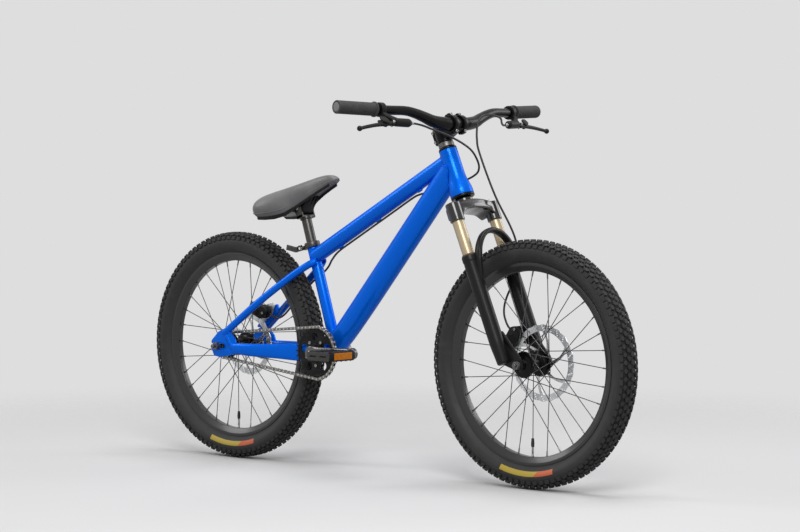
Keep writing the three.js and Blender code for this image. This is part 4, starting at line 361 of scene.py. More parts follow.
def station_rings(stations, side=(0, 1, 0), sides=40, squareness=1.0):
    """A section at each station (centre, width, height), square to the line through them."""
    centres = [np.array(station[0], float) for station in stations]
    rings = []
    for i, (_, width, height) in enumerate(stations):
        along = centres[min(i + 1, len(centres) - 1)] - centres[max(i - 1, 0)]
        along = along / np.linalg.norm(along)
        across = np.array(side, float)
        across = across - along * across.dot(along)
        across = across / np.linalg.norm(across)
        rings.append(section(centres[i], across, np.cross(along, across), width, height, sides, squareness))
    return rings


def swept(name, stations, finish, place=Matrix(), side=(0, 1, 0), sides=40, squareness=1.0, crease=40):
    """A bar whose section changes from station to station."""
    return skinned(name, station_rings(stations, side, sides, squareness), finish, place, crease=crease)


def landed(ring, behind, axis_point, axis, radius):
    """Where the lines from one ring through the next meet a round tube."""
    axis = np.array(axis, float) / np.linalg.norm(axis)
    out = []
    for point, start in zip(ring, behind):
        way = (point - start) / np.linalg.norm(point - start)
        offset = start - np.array(axis_point, float)
        flat_way, flat_offset = way - axis * way.dot(axis), offset - axis * offset.dot(axis)
        a, b = flat_way.dot(flat_way), 2 * flat_way.dot(flat_offset)
        c = flat_offset.dot(flat_offset) - radius ** 2
        out.append(start + way * (-b - math.sqrt(max(b * b - 4 * a * c, 0))) / (2 * a))
    return out


def joined(name, *pieces):
    """The pieces as one mesh."""
    with bpy.context.temp_override(active_object=pieces[0], selected_editable_objects=list(pieces)):
        bpy.ops.object.join()
    pieces[0].name = name
    pieces[0].data.name = name
    return pieces[0]


def stands_for(piece, body, finish_slot, *nodes):
    """The piece rides on a body and takes the place of its CAD nodes."""
    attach(piece, body)
    if nodes:
        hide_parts(*nodes)
    return piece


steering_foot, seat_foot = (439.377, 0, 270.417), (-136.081, 0, 284)
head_lean = math.radians(23)
head_ahead, head_up = (math.cos(head_lean), 0, math.sin(head_lean)), (-math.sin(head_lean), 0, math.cos(head_lean))
steering_place = upright(steering_foot, head_ahead)
seat_lean = math.radians(90 - 72.3)
seat_ahead, seat_up = (math.cos(seat_lean), 0, math.sin(seat_lean)), (-math.sin(seat_lean), 0, math.cos(seat_lean))
seat_place = upright(seat_foot, seat_ahead)
crank_axis = (-164.981, 0, 284)

head_low, head_high, lower_cup_radius, upper_cup_radius = 438, 554.6, 28.5, 22
head_profile = [(24.8, head_low), (lower_cup_radius, head_low), (lower_cup_radius, 451), (26.6, 462), (23.4, 476),
                (upper_cup_radius, 488), (upper_cup_radius, head_high), (18.8, head_high), (18.8, 466), (24.8, 452)]
head = turned("head_tube_painted", head_profile, blue_paint, steering_place, sides=96, soft=2.0)
stands_for(head, "frame_body", "frame_blue", "head_tube")

head_seat = np.array(steering_place @ Vector((0, 0, 531.8)))
down_seat = np.array(steering_place @ Vector((0, 0, 508.5)))
tube_tail = np.array(seat_place @ Vector((0, 0, 245.65)))
down_foot = np.array((crank_axis[0] + 14.4, 0, crank_axis[2]))

top_tube_size, down_tube_size, seat_tube_radius, shell_radius = (36, 37), (50, 58), 14.3, 20.5
top_rings = station_rings([(head_seat, *top_tube_size), (tube_tail, *top_tube_size)], sides=56, squareness=0.92)
top_front = landed(top_rings[0], top_rings[1], head_seat, head_up, 21.4)
top_back = landed(top_rings[1], top_rings[0], tube_tail, seat_up, 13.7)
top_tube = skinned("top_tube_painted", [top_front, top_back], blue_paint)
down_stations = [(down_seat, *down_tube_size), (down_seat * 0.16 + down_foot * 0.84, *down_tube_size),
                 (np.array(crank_axis), 50, 2 * shell_radius)]
down_rings = station_rings(eased(down_stations, 8), sides=64, squareness=0.92)
down_front = landed(down_rings[0], down_rings[1], down_seat, head_up, 24.6)
down_back = landed(down_rings[-1], down_rings[-3], crank_axis, (0, 1, 0), 19.6)
down_tube = skinned("down_tube_painted", [down_front, *down_rings[1:-2], down_back], blue_paint)
seat_tube_profile = [(13.2, 14), (seat_tube_radius, 14), (seat_tube_radius, 279.95), (13.2, 279.95)]
seat_tube = turned("seat_tube_painted", seat_tube_profile, blue_paint, seat_place, sides=64)

guide_blocks = []
tube_way = (tube_tail - head_seat) / np.linalg.norm(tube_tail - head_seat)
tube_under = np.cross(tube_way, (0, 1, 0))
tube_under = tube_under if tube_under[2] < 0 else -tube_under
for share in (0.24, 0.54, 0.82):
    middle = head_seat + (tube_tail - head_seat) * share
    ends = [middle + tube_under * 16.5, middle + tube_under * 21.0]
    guide_blocks.append(swept("guide", [(ends[0], 9, 16), (ends[1], 8, 15)], blue_paint, sides=24,
                              squareness=0.35))
stands_for(joined("top_tube_painted", top_tube, *guide_blocks), "frame_body", "frame_blue", "top_tube")
stands_for(down_tube, "frame_body", "frame_blue", "down_tube")
stands_for(seat_tube, "frame_body", "frame_blue", "seat_tube")

shell_half = 36.5
shell_profile = [(17.3, -shell_half), (shell_radius, -shell_half), (shell_radius, shell_half), (17.3, shell_half)]
shell = turned("bottom_bracket_shell_painted", shell_profile, blue_paint, upright(crank_axis), axis="Y", soft=1.0)
stands_for(shell, "frame_body", "frame_blue", "bottom_bracket_shell")

# ---------------------------------------------------------------- Stays and dropouts
# Two lower and two upper tubes that reach back round the wheel to forged plates for the axle.
# The left upper one carries a machined tab for the brake.


def plain_mesh(host):
    """The object's mesh with its modifiers or its curve worked out."""
    bpy.context.view_layer.update()
    return bpy.data.meshes.new_from_object(host.evaluated_get(bpy.context.evaluated_depsgraph_get()))


def plate(name, outline, low, high, finish, holes=(), place=Matrix(), edge=0.6):
    """An outline of (x, z) points, as thick as the span of y, with its edges eased."""
    curve = bpy.data.curves.new(name, "CURVE")
    curve.dimensions = "2D"
    curve.fill_mode = "BOTH"
    curve.extrude = (high - low) / 2 - edge
    curve.bevel_depth = edge
    curve.bevel_resolution = 1
    curve.offset = -edge
    for loop in (outline, *holes):
        spline = curve.splines.new("POLY")
        spline.points.add(len(loop) - 1)
        spline.use_cyclic_u = True
        for point, (x, z) in zip(spline.points, loop):
            point.co = (x, z, 0, 1)
    flat = linked(name + "_outline", curve)
    mesh = plain_mesh(flat)
    points = [(vertex.co.x, (low + high) / 2 - vertex.co.z, vertex.co.y) for vertex in mesh.vertices]
    faces = [tuple(face.vertices) for face in mesh.polygons]
    bpy.data.objects.remove(flat)
    bpy.data.curves.remove(curve)
    bpy.data.meshes.remove(mesh)
    return new_piece(name, points, faces, finish, place, crease=28)


def arc(x, z, radius, start, end, steps):
    """Points of an arc between two angles in degrees."""
    angles = np.radians(np.linspace(start, end, steps + 1))
    return [(x + radius * math.cos(angle), z + radius * math.sin(angle)) for angle in angles]


def mirrored(piece, name):
    """The same piece on the bike's other side."""
    mesh = piece.data.copy()
    mesh.transform(Matrix.Scale(-1, 4, (0, 1, 0)))
    mesh.flip_normals()
    return linked(name, mesh)


def copy_tree(name, *sizes):
    """The part that all trees for repeated pieces share: a piece put on points, made real and given its finish."""
    tree = bpy.data.node_groups.new(name, "GeometryNodeTree")
    for socket, kind in (("Geometry", "Geometry"), ("Piece", "Object"), *sizes, ("Finish", "Material")):
        tree.interface.new_socket(name=socket, in_out="INPUT", socket_type="NodeSocket" + kind)
    tree.interface.new_socket(name="Geometry", in_out="OUTPUT", socket_type="NodeSocketGeometry")
    kinds = ("NodeGroupInput", "GeometryNodeObjectInfo", "GeometryNodeInstanceOnPoints",
             "GeometryNodeRealizeInstances", "GeometryNodeSetMaterial", "NodeGroupOutput")
    entry, piece, array, real, paint, leave = (tree.nodes.new(kind) for kind in kinds)
    join_nodes(tree, (entry, "Piece", piece, "Object"), (piece, "Geometry", array, "Instance"),
               (array, "Instances", real, "Geometry"), (real, "Geometry", paint, "Geometry"),
               (entry, "Finish", paint, "Material"), (paint, "Geometry", leave, "Geometry"))
    return tree, entry, array


def placed_array_tree():
    """Geometry Nodes: one copy of a piece at each point, turned by the point's own angles."""
    tree, entry, array = copy_tree("copies_at_points")
    turn = tree.nodes.new("GeometryNodeInputNamedAttribute")
    turn.data_type = "FLOAT_VECTOR"
    turn.inputs["Name"].default_value = "turn"
    join_nodes(tree, (entry, "Geometry", array, "Points"), (turn, "Attribute", array, "Rotation"))
    return tree


copies_at_points = placed_array_tree()


def grown(name, tree, host_mesh, **values):
    """What a tree makes of its inputs, as one plain mesh. The pattern itself goes."""
    host = linked(name + "_host", host_mesh)
    modifier = host.modifiers.new("copies", "NODES")
    modifier.node_group = tree
    for item in tree.interface.items_tree:
        if item.in_out == "INPUT" and item.name in values:
            modifier[item.identifier] = values[item.name]
    piece = linked(name, plain_mesh(host))
    piece.data.name = name
    bpy.data.objects.remove(host)
    bpy.data.objects.remove(values["Piece"])
    return piece


def copies(name, pattern, points, turns, finish):
    """Copies of the pattern at points in metres, each with its own turn."""
    mesh = bpy.data.meshes.new(name)
    mesh.from_pydata([tuple(point) for point in points], [], [])
    turn = mesh.attributes.new("turn", "FLOAT_VECTOR", "POINT")
    turn.data.foreach_set("vector", np.array([tuple(t) for t in turns], np.float32).ravel())
    return grown(name, copies_at_points, mesh, Piece=pattern, Finish=finish)


def facing(way):
    """The turn that sends a piece's Z that way."""
    return Vector(way).to_track_quat("Z", "Y").to_euler()


def weld_row(ring):
    """Painted beads along a closed line, each one leaning on the last."""
    spacing, radius, half = 2.3, 2.1, 1.5
    loop = np.array([*ring, ring[0]])
    lengths = np.r_[0, np.cumsum(np.linalg.norm(np.diff(loop, axis=0), axis=1))]
    count = max(int(lengths[-1] / spacing), 8)
    stops = np.linspace(0, lengths[-1], count, endpoint=False)
    points = np.array([np.interp(stops, lengths, loop[:, axis]) for axis in range(3)]).T
    ways = np.roll(points, -1, 0) - np.roll(points, 1, 0)
    profile = [(0, -half), (radius * 0.8, -half * 0.6), (radius, 0), (radius * 0.8, half * 0.6), (0, half)]
    bead = turned("bead", profile, blue_paint, sides=10, soft=0, crease=80)
    return copies("weld", bead, points * MM, [facing(way) for way in ways], blue_paint)


rear_axle = (-480.8, 0, 288)
drop_reach = 72
slot_outline = [(-23.8, -7.2), (-23.8, -5.2), (17.5, -5.2), *arc(18.5, 0, 5.2, -90, 90, 8), (17.5, 5.2), (-23.8, 5.2),
                (-23.8, 13), (1.4, 36), (28.8, 47.5), (57.6, 21.6), (61.9, 8.6), (61.9, -18.7), (7.2, -28.8),
                (-14.4, -25.9)]
rear_place = upright(rear_axle)
stay_y = 71


def lower_stay():
    """The left lower tube with its dropout and brace, and the ring where it lands on the shell."""
    stations = []
    shares = [(0.17, -0.05, 1), (0.36, -0.06, 0.95), (0.6, -0.05, 0.72), (0.76, -0.05, 0.545), (0.98, -0.05, 0.48)]
    for i, (along, up, out) in enumerate(shares):  # from the axle to the cranks, above that line, and outwards
        forward = min(i / 3, 1)
        x = rear_axle[0] + (crank_axis[0] - rear_axle[0]) * along
        z = rear_axle[2] + (crank_axis[2] - rear_axle[2]) * along + up * drop_reach
        stations.append(((x, out * stay_y, z), 15 - 6 * forward ** 2, 27 + 15 * forward))
    rings = station_rings(eased(stations, 6), sides=40, squareness=0.85)
    end = landed(rings[-3], rings[-5], crank_axis, (0, 1, 0), 19.9)
    bar = skinned("stay", [*rings[:-3], end], blue_paint)
    brace = swept("brace", [((-456.3, stay_y, 320.4), 12, 12), ((-429.0, stay_y, 284.4), 12, 12)], blue_paint,
                  sides=28)
    drop = plate("dropout", softened(slot_outline, 2.5), 67.6, 74.4, blue_paint, place=rear_place, edge=0.9)
    return joined("left_chainstay_painted", bar, brace, drop), end


left_lower, lower_landing = lower_stay()
right_lower = mirrored(left_lower, "right_chainstay_painted")
stands_for(left_lower, "frame_body", "frame_blue", "left_chainstay")
stands_for(right_lower, "frame_body", "frame_blue", "right_chainstay")

upper_stations = []
upper_shares = [(0.087, 0.148, 1.01), (0.459, 0.482, 0.82), (0.811, 0.773, 0.563), (0.985, 0.908, 0.35),
                (1.04, 0.95, 0.2)]
for along, up, out in upper_shares:
    x = rear_axle[0] + (tube_tail[0] - rear_axle[0]) * along
    upper_stations.append(((x, out * stay_y, rear_axle[2] + (tube_tail[2] - rear_axle[2]) * up), 18, 18))
upper_rings = station_rings(eased(upper_stations, 6), sides=36)
upper_landing = landed(upper_rings[-2], upper_rings[-4], tube_tail, seat_up, 14.0)
upper_bar = skinned("upper", [*upper_rings[:-2], upper_landing], blue_paint)
right_upper = mirrored(upper_bar, "right_seatstay_painted")
brake_tab = plate("tab", softened([(10.8, 42), (40.8, 84), (80.8, 104), (88.8, 84), (36, 40.3)], 4), 54.8, 63.4,
                  blue_paint, place=rear_place, edge=0.8)
left_upper = joined("left_seatstay_painted", upper_bar, brake_tab)
stands_for(left_upper, "frame_body", "frame_blue", "left_seatstay")
stands_for(right_upper, "frame_body", "frame_blue", "right_seatstay")

weld_lines = [top_front, top_back, down_front]
for landing in (lower_landing, upper_landing):
    weld_lines += [landing, [point * (1, -1, 1) for point in landing]]
welds = joined("frame_welds", *[weld_row(line) for line in weld_lines])
stands_for(welds, "frame_body", "frame_blue")

# ---------------------------------------------------------------- Headset and bottom bracket
# Pressed bearing cups above and below the head tube, and a sealed cartridge between the cranks.
# All are black anodised rings, turned on a lathe.


def black_metal(name, colour, low, high, metallic):
    """Anodised or painted black, a little paler where it is worn."""
    metal = Finish(name, Metallic=metallic, Coat_Weight=0.06, Coat_Roughness=0.15, Specular_IOR_Level=0.16)
    grain = metal.noise(900, 3)
    wear = metal.between(metal.noise(35, 5, 0.65), 0.55, 0.85)
    metal.show(Base_Color=metal.tint(wear * 0.35, colour, (0.018, 0.018, 0.019, 1)))
    metal.show(Roughness=low + grain * (high - low) + wear * 0.08)
    metal.relief(grain, 0.05, 0.0003)
    return metal.material


black_paint = black_metal("satin_black_paint", (0.0045, 0.0045, 0.005, 1), 0.26, 0.4, 0.3)
upper_profile = [(17, 545), (18.3, 545), (18.3, 555), (upper_cup_radius, 555), (upper_cup_radius, 558.5), (20.4, 561),
                 (17, 561)]
lower_profile = [(19, 432), (27.6, 432), (lower_cup_radius, 433.6), (lower_cup_radius, 437.6), (24.4, 437.6),
                 (24.4, 451), (19, 451)]
upper_cup = turned("headset_upper_cup_ring", upper_profile, black_paint, steering_place, soft=0.8)
lower_cup = turned("headset_lower_cup_ring", lower_profile, black_paint, steering_place, soft=0.8)
stands_for(upper_cup, "frame_body", "black_paint", "headset_upper_cup")
stands_for(lower_cup, "frame_body", "black_paint", "headset_lower_cup")
cups, notches = [], []
notch_count, notch_radius = 16, 19.2
for side in (-1, 1):
    cup_shares = [(10, 36.8), (17, 36.8), (20.3, 36.9), (20.3, 39.6), (18, 40.6), (10, 40.6)]
    cup_profile = [(radius, side * out) for radius, out in cup_shares]
    cups.append(turned("cup", cup_profile, black_paint, upright(crank_axis), axis="Y", soft=0.7))
    for k in range(notch_count):
        angle = 2 * math.pi * k / notch_count
        notch = Vector((notch_radius * math.cos(angle), side * 40.5, notch_radius * math.sin(angle)))
        notches.append((Vector(crank_axis) + notch) * MM)
notch_profile = [(0, -0.5), (1.1, -0.5), (1.1, 0.3), (0, 0.3)]
notch_pattern = turned("notch", notch_profile, black_paint, axis="Y", sides=10, soft=0)
splines = copies("splines", notch_pattern, notches, [(0, 0, 0)] * len(notches), black_paint)
sleeve = turned("sleeve", [(10, -36), (17, -36), (17, 36), (10, 36)], black_paint, upright(crank_axis), axis="Y")
cartridge = joined("bottom_bracket_cups", *cups, splines, sleeve)
stands_for(cartridge, "frame_body", "black_paint", "bottom_bracket_cartridge")

# ---------------------------------------------------------------- Wheels
# Rims are black anodised box extrusions, laced with sixteen spokes a side, three-cross, to black hubs.
# Each spoke ends in a nipple at the rim, and a valve stands at the rim's foot.


def plain_finish(name, scale, detail, dark, pale, smooth, rough, **fixed):
    """A finish whose colour and gloss vary with one fine grain."""
    made = Finish(name, **fixed)
    grain = made.noise(scale, detail)
    made.show(Base_Color=made.tint(grain, dark, pale), Roughness=smooth + grain * rough)
    return made.material


def metal_finish(name, colour, low, high, streak, metallic=1.0):
    """Bare or plated metal with fine streaks."""
    metal = Finish(name, Metallic=metallic)
    grain = metal.noise(streak, 4, 0.6)
    shade = tuple(channel * 0.7 for channel in colour[:3]) + (1,)
    metal.show(Base_Color=metal.tint(metal.between(grain, 0.3, 0.7), shade, colour))
    metal.show(Roughness=low + grain * (high - low))
    metal.relief(grain, 0.06, 0.0003)
    return metal.material


rim_paint = plain_finish("satin_black_rim", 700, 3, (0.018, 0.018, 0.019, 1), (0.032, 0.032, 0.034, 1), 0.3, 0.12,
                         Metallic=0.5, Coat_Weight=0.35, Coat_Roughness=0.15, Specular_IOR_Level=0.5)
hub_black = black_metal("hub_black", (0.005, 0.005, 0.0055, 1), 0.22, 0.36, 0.4)
spoke_steel = metal_finish("spoke_steel", (0.10, 0.10, 0.105, 1), 0.25, 0.38, 500, 0.85)
silver_metal = metal_finish("silver_metal", (0.62, 0.63, 0.64, 1), 0.24, 0.38, 300)
steel_metal = metal_finish("steel_metal", (0.36, 0.355, 0.34, 1), 0.3, 0.45, 300)
rotor_steel = metal_finish("rotor_steel", (0.70, 0.71, 0.72, 1), 0.3, 0.42, 900)
dark_steel = metal_finish("dark_steel", (0.16, 0.158, 0.155, 1), 0.3, 0.45, 300, 0.9)


def tyre_finish():
    """Rubber with a moulded sidewall, a printed yellow and orange band low on the right side, and painted shade: the
    casing between the tread blocks is near black.
    """
    rubber = Finish("tyre_rubber", Specular_IOR_Level=0.35)
    across, y, up = rubber.axes()
    axle_x, axle_height = 0.4808, 0.288
    x, z = across + axle_x - (across > 0) * (2 * axle_x), up - axle_height
    radius = rubber.node("ShaderNodeMath", {"operation": "SQRT"}, {0: x * x + z * z})
    turn = rubber.node("ShaderNodeMath", {"operation": "ARCTAN2"}, {0: x, 1: 0 - z})
    rings = rubber.node("ShaderNodeMath", {"operation": "SINE"}, {0: radius * 3900})
    print_low, print_high, print_turn, edge_width = 0.2465, 0.2585, 0.31, 0.0005
    right_side = y < -0.01
    lower = (radius > 0.2395) * (radius < print_low)
    wide = (radius > print_low) * (radius < print_high) * (right_side * (abs(turn) < print_turn))
    edge = (radius > print_low - edge_width) * (radius < print_high + edge_width) * right_side
    edge = edge * (abs(turn) < print_turn + 0.008) - wide
    slant = turn + (radius - print_low) * 4
    orange = wide * (slant > 0.13)
    yellow = wide - orange
    grime = rubber.between(rubber.noise(26, 5, 0.7), 0.45, 0.8)
    base = rubber.tint(grime, (0.022, 0.022, 0.022, 1), (0.042, 0.042, 0.041, 1))
    base = rubber.tint(lower * 0.3, base, (0.03, 0.03, 0.03, 1))
    # Painted shade: beyond this radius the casing between and under the tread blocks is made near black, as if in
    # shadow.
    base = rubber.tint(radius > 0.2755, base, (0.003, 0.003, 0.003, 1))
    base = rubber.tint(yellow * 0.94, base, (0.50, 0.37, 0.05, 1))
    base = rubber.tint(orange * 0.96, base, (0.60, 0.13, 0.05, 1))
    rubber.show(Base_Color=rubber.tint(edge * 0.5, base, (0.004, 0.004, 0.004, 1)))
    rubber.show(Roughness=0.55 + grime * 0.2 - wide * 0.1)
    rubber.relief(rings * (radius < 0.268) * 0.4 + rubber.noise(1500, 2) * 0.5, 0.12, 0.0004)
    return rubber.material


tread_rubber = Finish("tread_rubber", Specular_IOR_Level=0.3)
dust = tread_rubber.between(tread_rubber.noise(90, 5, 0.7), 0.4, 0.8)
tread_rubber.show(Base_Color=tread_rubber.tint(dust, (0.022, 0.022, 0.022, 1), (0.048, 0.047, 0.045, 1)))
tread_rubber.show(Roughness=0.62 + dust * 0.22)
tread_rubber.relief(tread_rubber.noise(2200, 2), 0.1, 0.0003)
tread_rubber = tread_rubber.material
tyre_rubber = tyre_finish()


def round_array_tree():
    """Geometry Nodes: copies of a piece turned evenly about the wheel's axis."""
    tree, entry, ring = copy_tree("copies_round_an_axle", ("Count", "Int"), ("Phase", "Float"))
    points = tree.nodes.new("GeometryNodePoints")
    index = tree.nodes.new("GeometryNodeInputIndex")
    share, step, turn = (tree.nodes.new("ShaderNodeMath") for _ in range(3))
    share.operation, step.operation, turn.operation = "DIVIDE", "MULTIPLY", "ADD"
    step.inputs[1].default_value = 2 * math.pi
    angles = tree.nodes.new("ShaderNodeCombineXYZ")
    join_nodes(tree, (entry, "Count", points, "Count"), (points, 0, ring, "Points"), (index, 0, share, 0),
               (entry, "Count", share, 1), (share, 0, step, 0), (step, 0, turn, 0), (entry, "Phase", turn, 1),
               (turn, 0, angles, "Y"), (angles, 0, ring, "Rotation"))
    return tree


copies_round_an_axle = round_array_tree()


def round_copies(name, pattern, count, finish, phase=0.0):
    """Copies of a pattern built about the origin, turned about Y."""
    host_mesh = bpy.data.meshes.new(name + "_host")
    return grown(name, copies_round_an_axle, host_mesh, Piece=pattern, Count=count, Phase=phase, Finish=finish)


def moved(piece, place):
    """The piece's mesh carried to another place, given in millimetres."""
    shift = place.copy()
    shift.translation = shift.translation * MM
    piece.data.transform(shift)
    return piece


def copied(piece, name, place):
    return moved(linked(name, piece.data.copy()), place)


front_axle = (480.8, 0, 288)
tyre_radius = 288


def tread_point(around, across, sink):
    """A point of the tread: along the tyre, and across from -1 at one shoulder to 1 at the other."""

    def at(share):
        reach = abs(share)
        radius, side = tyre_radius - 21 * reach ** 2.4, 28.8 * math.sin(reach * math.pi / 2) ** 0.9
        return np.array((radius, math.copysign(side, share)))

    way = at(across + 0.01) - at(across - 0.01)
    normal = np.array((way[1], -way[0])) / np.linalg.norm(way)
    radius, side = at(across) - normal * sink
    angle = around / tyre_radius
    return (radius * math.sin(angle), side, -radius * math.cos(angle))


def tread_block(outline):
    """A block whose top is a little smaller than its foot."""
    middle = np.mean(outline, axis=0)
    top = [tread_point(*(middle + (np.array(point) - middle) * 0.86), 0) for point in outline]
    return skinned("block", [[tread_point(*point, 4.4) for point in outline], top], tread_rubber, crease=60)


tread_count = 96
tread_columns = [(0, 0.12), (0.285, 0.11), (0.56, 0.115), (0.845, 0.12)]


def tread():
    """One pitch of the tread: seven columns of six-sided blocks, each half a pitch from the last."""
    blocks = []
    half_pitch = math.pi * tyre_radius / tread_count
    for column in range(-3, 4):
        middle, half = tread_columns[abs(column)]
        shift = half_pitch * (column % 2)
        edge = 6.6 if abs(column) == 3 else 4.2
        outline = [(-7, 0), (-edge, -half), (edge, -half), (7, 0), (edge, half), (-edge, half)]
        centre = math.copysign(middle, column)
        blocks.append(tread_block([(shift + around, centre + across) for around, across in outline]))
    return joined("tread_pitch", *blocks)


tread_ring = round_copies("tread_blocks", tread(), tread_count, tread_rubber)
tyre_profile = [(228.8, 12.0), (235.3, 12.6), (240, 17.2), (247, 22.8), (255, 26.4), (263, 26.9), (269.5, 25.2),
                (277.5, 20.6), (281.8, 14.4), (283.7, 7.5), (284.1, 0)]
tyre_profile += [(radius, -y) for radius, y in reversed(tyre_profile[:-1])]
inner_wall = [(232, 9.6), (240, 14), (252, 21.6), (264, 22.2), (275, 15)]
tyre_profile += [(radius, -y) for radius, y in inner_wall] + [(279.3, 0), *reversed(inner_wall)]
tyre_casing = turned("tyre_casing", tyre_profile, tyre_rubber, axis="Y", sides=180, soft=3.0, crease=50, closed=True)

half_rim = [(214.6, 7.4), (216.2, 8.6), (228.2, 14.5), (234.8, 14.5), (235.0, 13.2), (232.6, 12.4), (228.8, 12.2),
            (228.4, 6.4), (224.2, 5.6)]
rim_profile = half_rim + [(radius, -y) for radius, y in reversed(half_rim)]
rim_ring = turned("rim_ring", rim_profile, rim_paint, axis="Y", sides=144, soft=0.8, crease=30, closed=True)

spokes_a_side, spoke_width, laced_steps = 16, 2.1, 3
hub_hole_radius, rim_hole_radius = 28.8, 214.3


def spoke_set(flange_y, turn_sign, phase):
    """Half of one side's spokes, all leaning one way, with their elbows and nipples."""
    rim_angle = (phase * 2 * math.pi) / spokes_a_side
    hub_angle = rim_angle + turn_sign * laced_steps * 2 * math.pi / spokes_a_side
    start = np.array((hub_hole_radius * math.cos(hub_angle), flange_y + turn_sign * 1.7,
                      hub_hole_radius * math.sin(hub_angle)))
    end = np.array((rim_hole_radius * math.cos(rim_angle), 0.0, rim_hole_radius * math.sin(rim_angle)))
    way = (end - start) / np.linalg.norm(end - start)
    rod_stations = [(start - way * 1.2, spoke_width, spoke_width), (end, spoke_width, spoke_width)]
    elbow_stations = [(start + (0, turn_sign * out, 0), size, size)
                      for out, size in ((-3.4, 3.6), (-2.9, 3.9), (0.6, 2.3))]
    nipple_stations = [(end + way * out, size, size)
                       for out, size in ((-13, 2.6), (-12, 3.6), (-1.5, 3.8), (-1.2, 4.6), (1.2, 4.6))]
    rod = swept("spoke", rod_stations, spoke_steel, sides=8, crease=60)
    elbow = swept("elbow", elbow_stations, spoke_steel, side=(1, 0, 0), sides=8)
    return joined("strand", rod, elbow), swept("nipple", nipple_stations, dark_steel, sides=8)


def circle(x, z, radius, sides=32):
    return arc(x, z, radius, 0, 360, sides)[:-1]


def rotor(radius):
    """A drilled braking band on six leaning arms, and its six bolts."""
    arms = []
    inner, foot, lean, half, steps = radius - 16, 21, 0.5, 4.5, 10
    for k in range(6):
        base = 2 * math.pi * k / 6
        left, right = [], []
        for t in np.linspace(0, 1, steps):
            r = foot + (inner + 1.5 - foot) * t
            a = base + lean * t
            waist = half * (1.25 - 0.5 * math.sin(math.pi * t)) / r
            left.append((r * math.cos(a - waist), r * math.sin(a - waist)))
            right.append((r * math.cos(a + waist), r * math.sin(a + waist)))
        arms.append(plate("arm", left + right[::-1], 37.1, 38.9, rotor_steel, edge=0.25))
    cells, wave = 24, 0.9
    turn = math.pi / cells
    outline = [((radius - wave + wave * math.cos(cells * a)) * math.cos(a),
                (radius - wave + wave * math.cos(cells * a)) * math.sin(a)) for a in np.linspace(-turn, turn, 9)]
    outline += [(inner * math.cos(a), inner * math.sin(a)) for a in np.linspace(turn, -turn, 5)]
    holes = []
    for t, size in ((0.22, 1.7), (0.5, 1.9), (0.78, 1.7)):
        r, a = inner + (radius - inner) * t, 0.13 * (t - 0.5)
        holes.append(circle(r * math.cos(a), r * math.sin(a), size, 10))
    band = round_copies("band", plate("cell", outline, 37, 39, rotor_steel, holes, edge=0), cells, rotor_steel)
    centre = plate("centre", circle(0, 0, 22, 64), 36.9, 39.1, rotor_steel, [circle(0, 0, 15.5, 48)], edge=0.3)
    bolt_profile = [(0, 39), (3.6, 39), (3.6, 40.6), (2.8, 41.4), (1.5, 41.4), (1.5, 40.2), (0, 40.2)]
    bolt = turned("bolt", bolt_profile, steel_metal, upright((19, 0, 0)), axis="Y", sides=20, soft=0.3)
    bolts = round_copies("rotor_bolts", bolt, 6, steel_metal, 0.3)
    return joined("rotor", band, *arms, centre), bolts


def hub(right_flange, right_end):
    """A hub shell whose left side carries the rotor."""
    profile = [(8.6, right_end), (12, right_end), (12, right_flange - 6), (16, right_flange - 4.4),
               (22, right_flange - 2.2), (31, right_flange - 2), (31, right_flange + 2), (23, right_flange + 2.2),
               (17, right_flange + 5), (14.4, right_flange + 12), (14.4, 14), (17, 22), (23, 24.8), (31, 25),
               (31, 29), (22, 29.2), (17, 31), (17, 36.6), (12, 36.8), (12, 45), (8.6, 45)]
    return turned("hub_shell", profile, hub_black, axis="Y", sides=72, soft=1.2, crease=30, closed=True)


def valve():
    """A metal valve stem with a black cap."""
    stem = turned("stem", [(0, 214), (3.0, 214), (2.8, 200), (2.6, 186), (0, 186)], silver_metal, sides=20, soft=0.4)
    cap = turned("cap", [(0, 192), (3.6, 192), (4.1, 184), (3.2, 172), (0, 171.4)], black_paint, sides=20, soft=0.8)
    whole = joined("valve", stem, cap)
    whole.data.transform(Matrix.Rotation(math.pi, 4, "X"))
    return whole


def build_wheel(name, body, axle, rotor_radius, right_flange, right_end):
    place = upright(axle)
    stands_for(copied(tyre_casing, name + "_tyre_casing", place), body, "tyre_rubber", name + "_tyre")
    stands_for(copied(tread_ring, name + "_tyre_tread", place), body, "tyre_rubber")
    stands_for(copied(rim_ring, name + "_rim_box", place), body, "black_paint", name + "_rim")
    hub_piece = moved(hub(right_flange, right_end), place)
    hub_piece.name = name + "_hub_shell"
    stands_for(hub_piece, body, "matte_black", name + "_hub")
    for label, flange, phase in (("left", 27, 0.5), ("right", right_flange, 0.0)):
        sets, nipples = [], []
        for turn_sign in (-1, 1):
            strand, nipple = spoke_set(flange, turn_sign, phase + (0 if turn_sign > 0 else 1))
            sets.append(round_copies("strands", strand, spokes_a_side // 2, spoke_steel))
            nipples.append(round_copies("nipples", nipple, spokes_a_side // 2, dark_steel))
        strands = moved(joined(name + "_" + label + "_spoke_strands", *sets), place)
        stands_for(strands, body, "steel", name + "_" + label + "_spokes")
        stands_for(moved(joined(name + "_" + label + "_nipples", *nipples), place), body, "steel")
    disc, bolts = rotor(rotor_radius)
    disc.name = name + "_rotor_disc"
    stands_for(moved(disc, place), body, "silver", name + "_brake_rotor")
    bolts.name = name + "_rotor_bolts"
    stands_for(moved(bolts, place), body, "steel")
    stopper = moved(valve(), place)
    stopper.name = name + "_valve"
    stands_for(stopper, body, "black_paint")


build_wheel("front", "front_wheel_body", front_axle, rotor_radius=90, right_flange=-33, right_end=-45)
build_wheel("rear", "rear_wheel_body", rear_axle, rotor_radius=80, right_flange=-30, right_end=-35)
for spare in (tyre_casing, tread_ring, rim_ring):
    bpy.data.objects.remove(spare)


def hexagon(radius):
    """The outline of a nut, corners at the radius."""
    return [(radius * math.cos(a), radius * math.sin(a)) for a in np.radians(np.arange(0, 360, 60))]


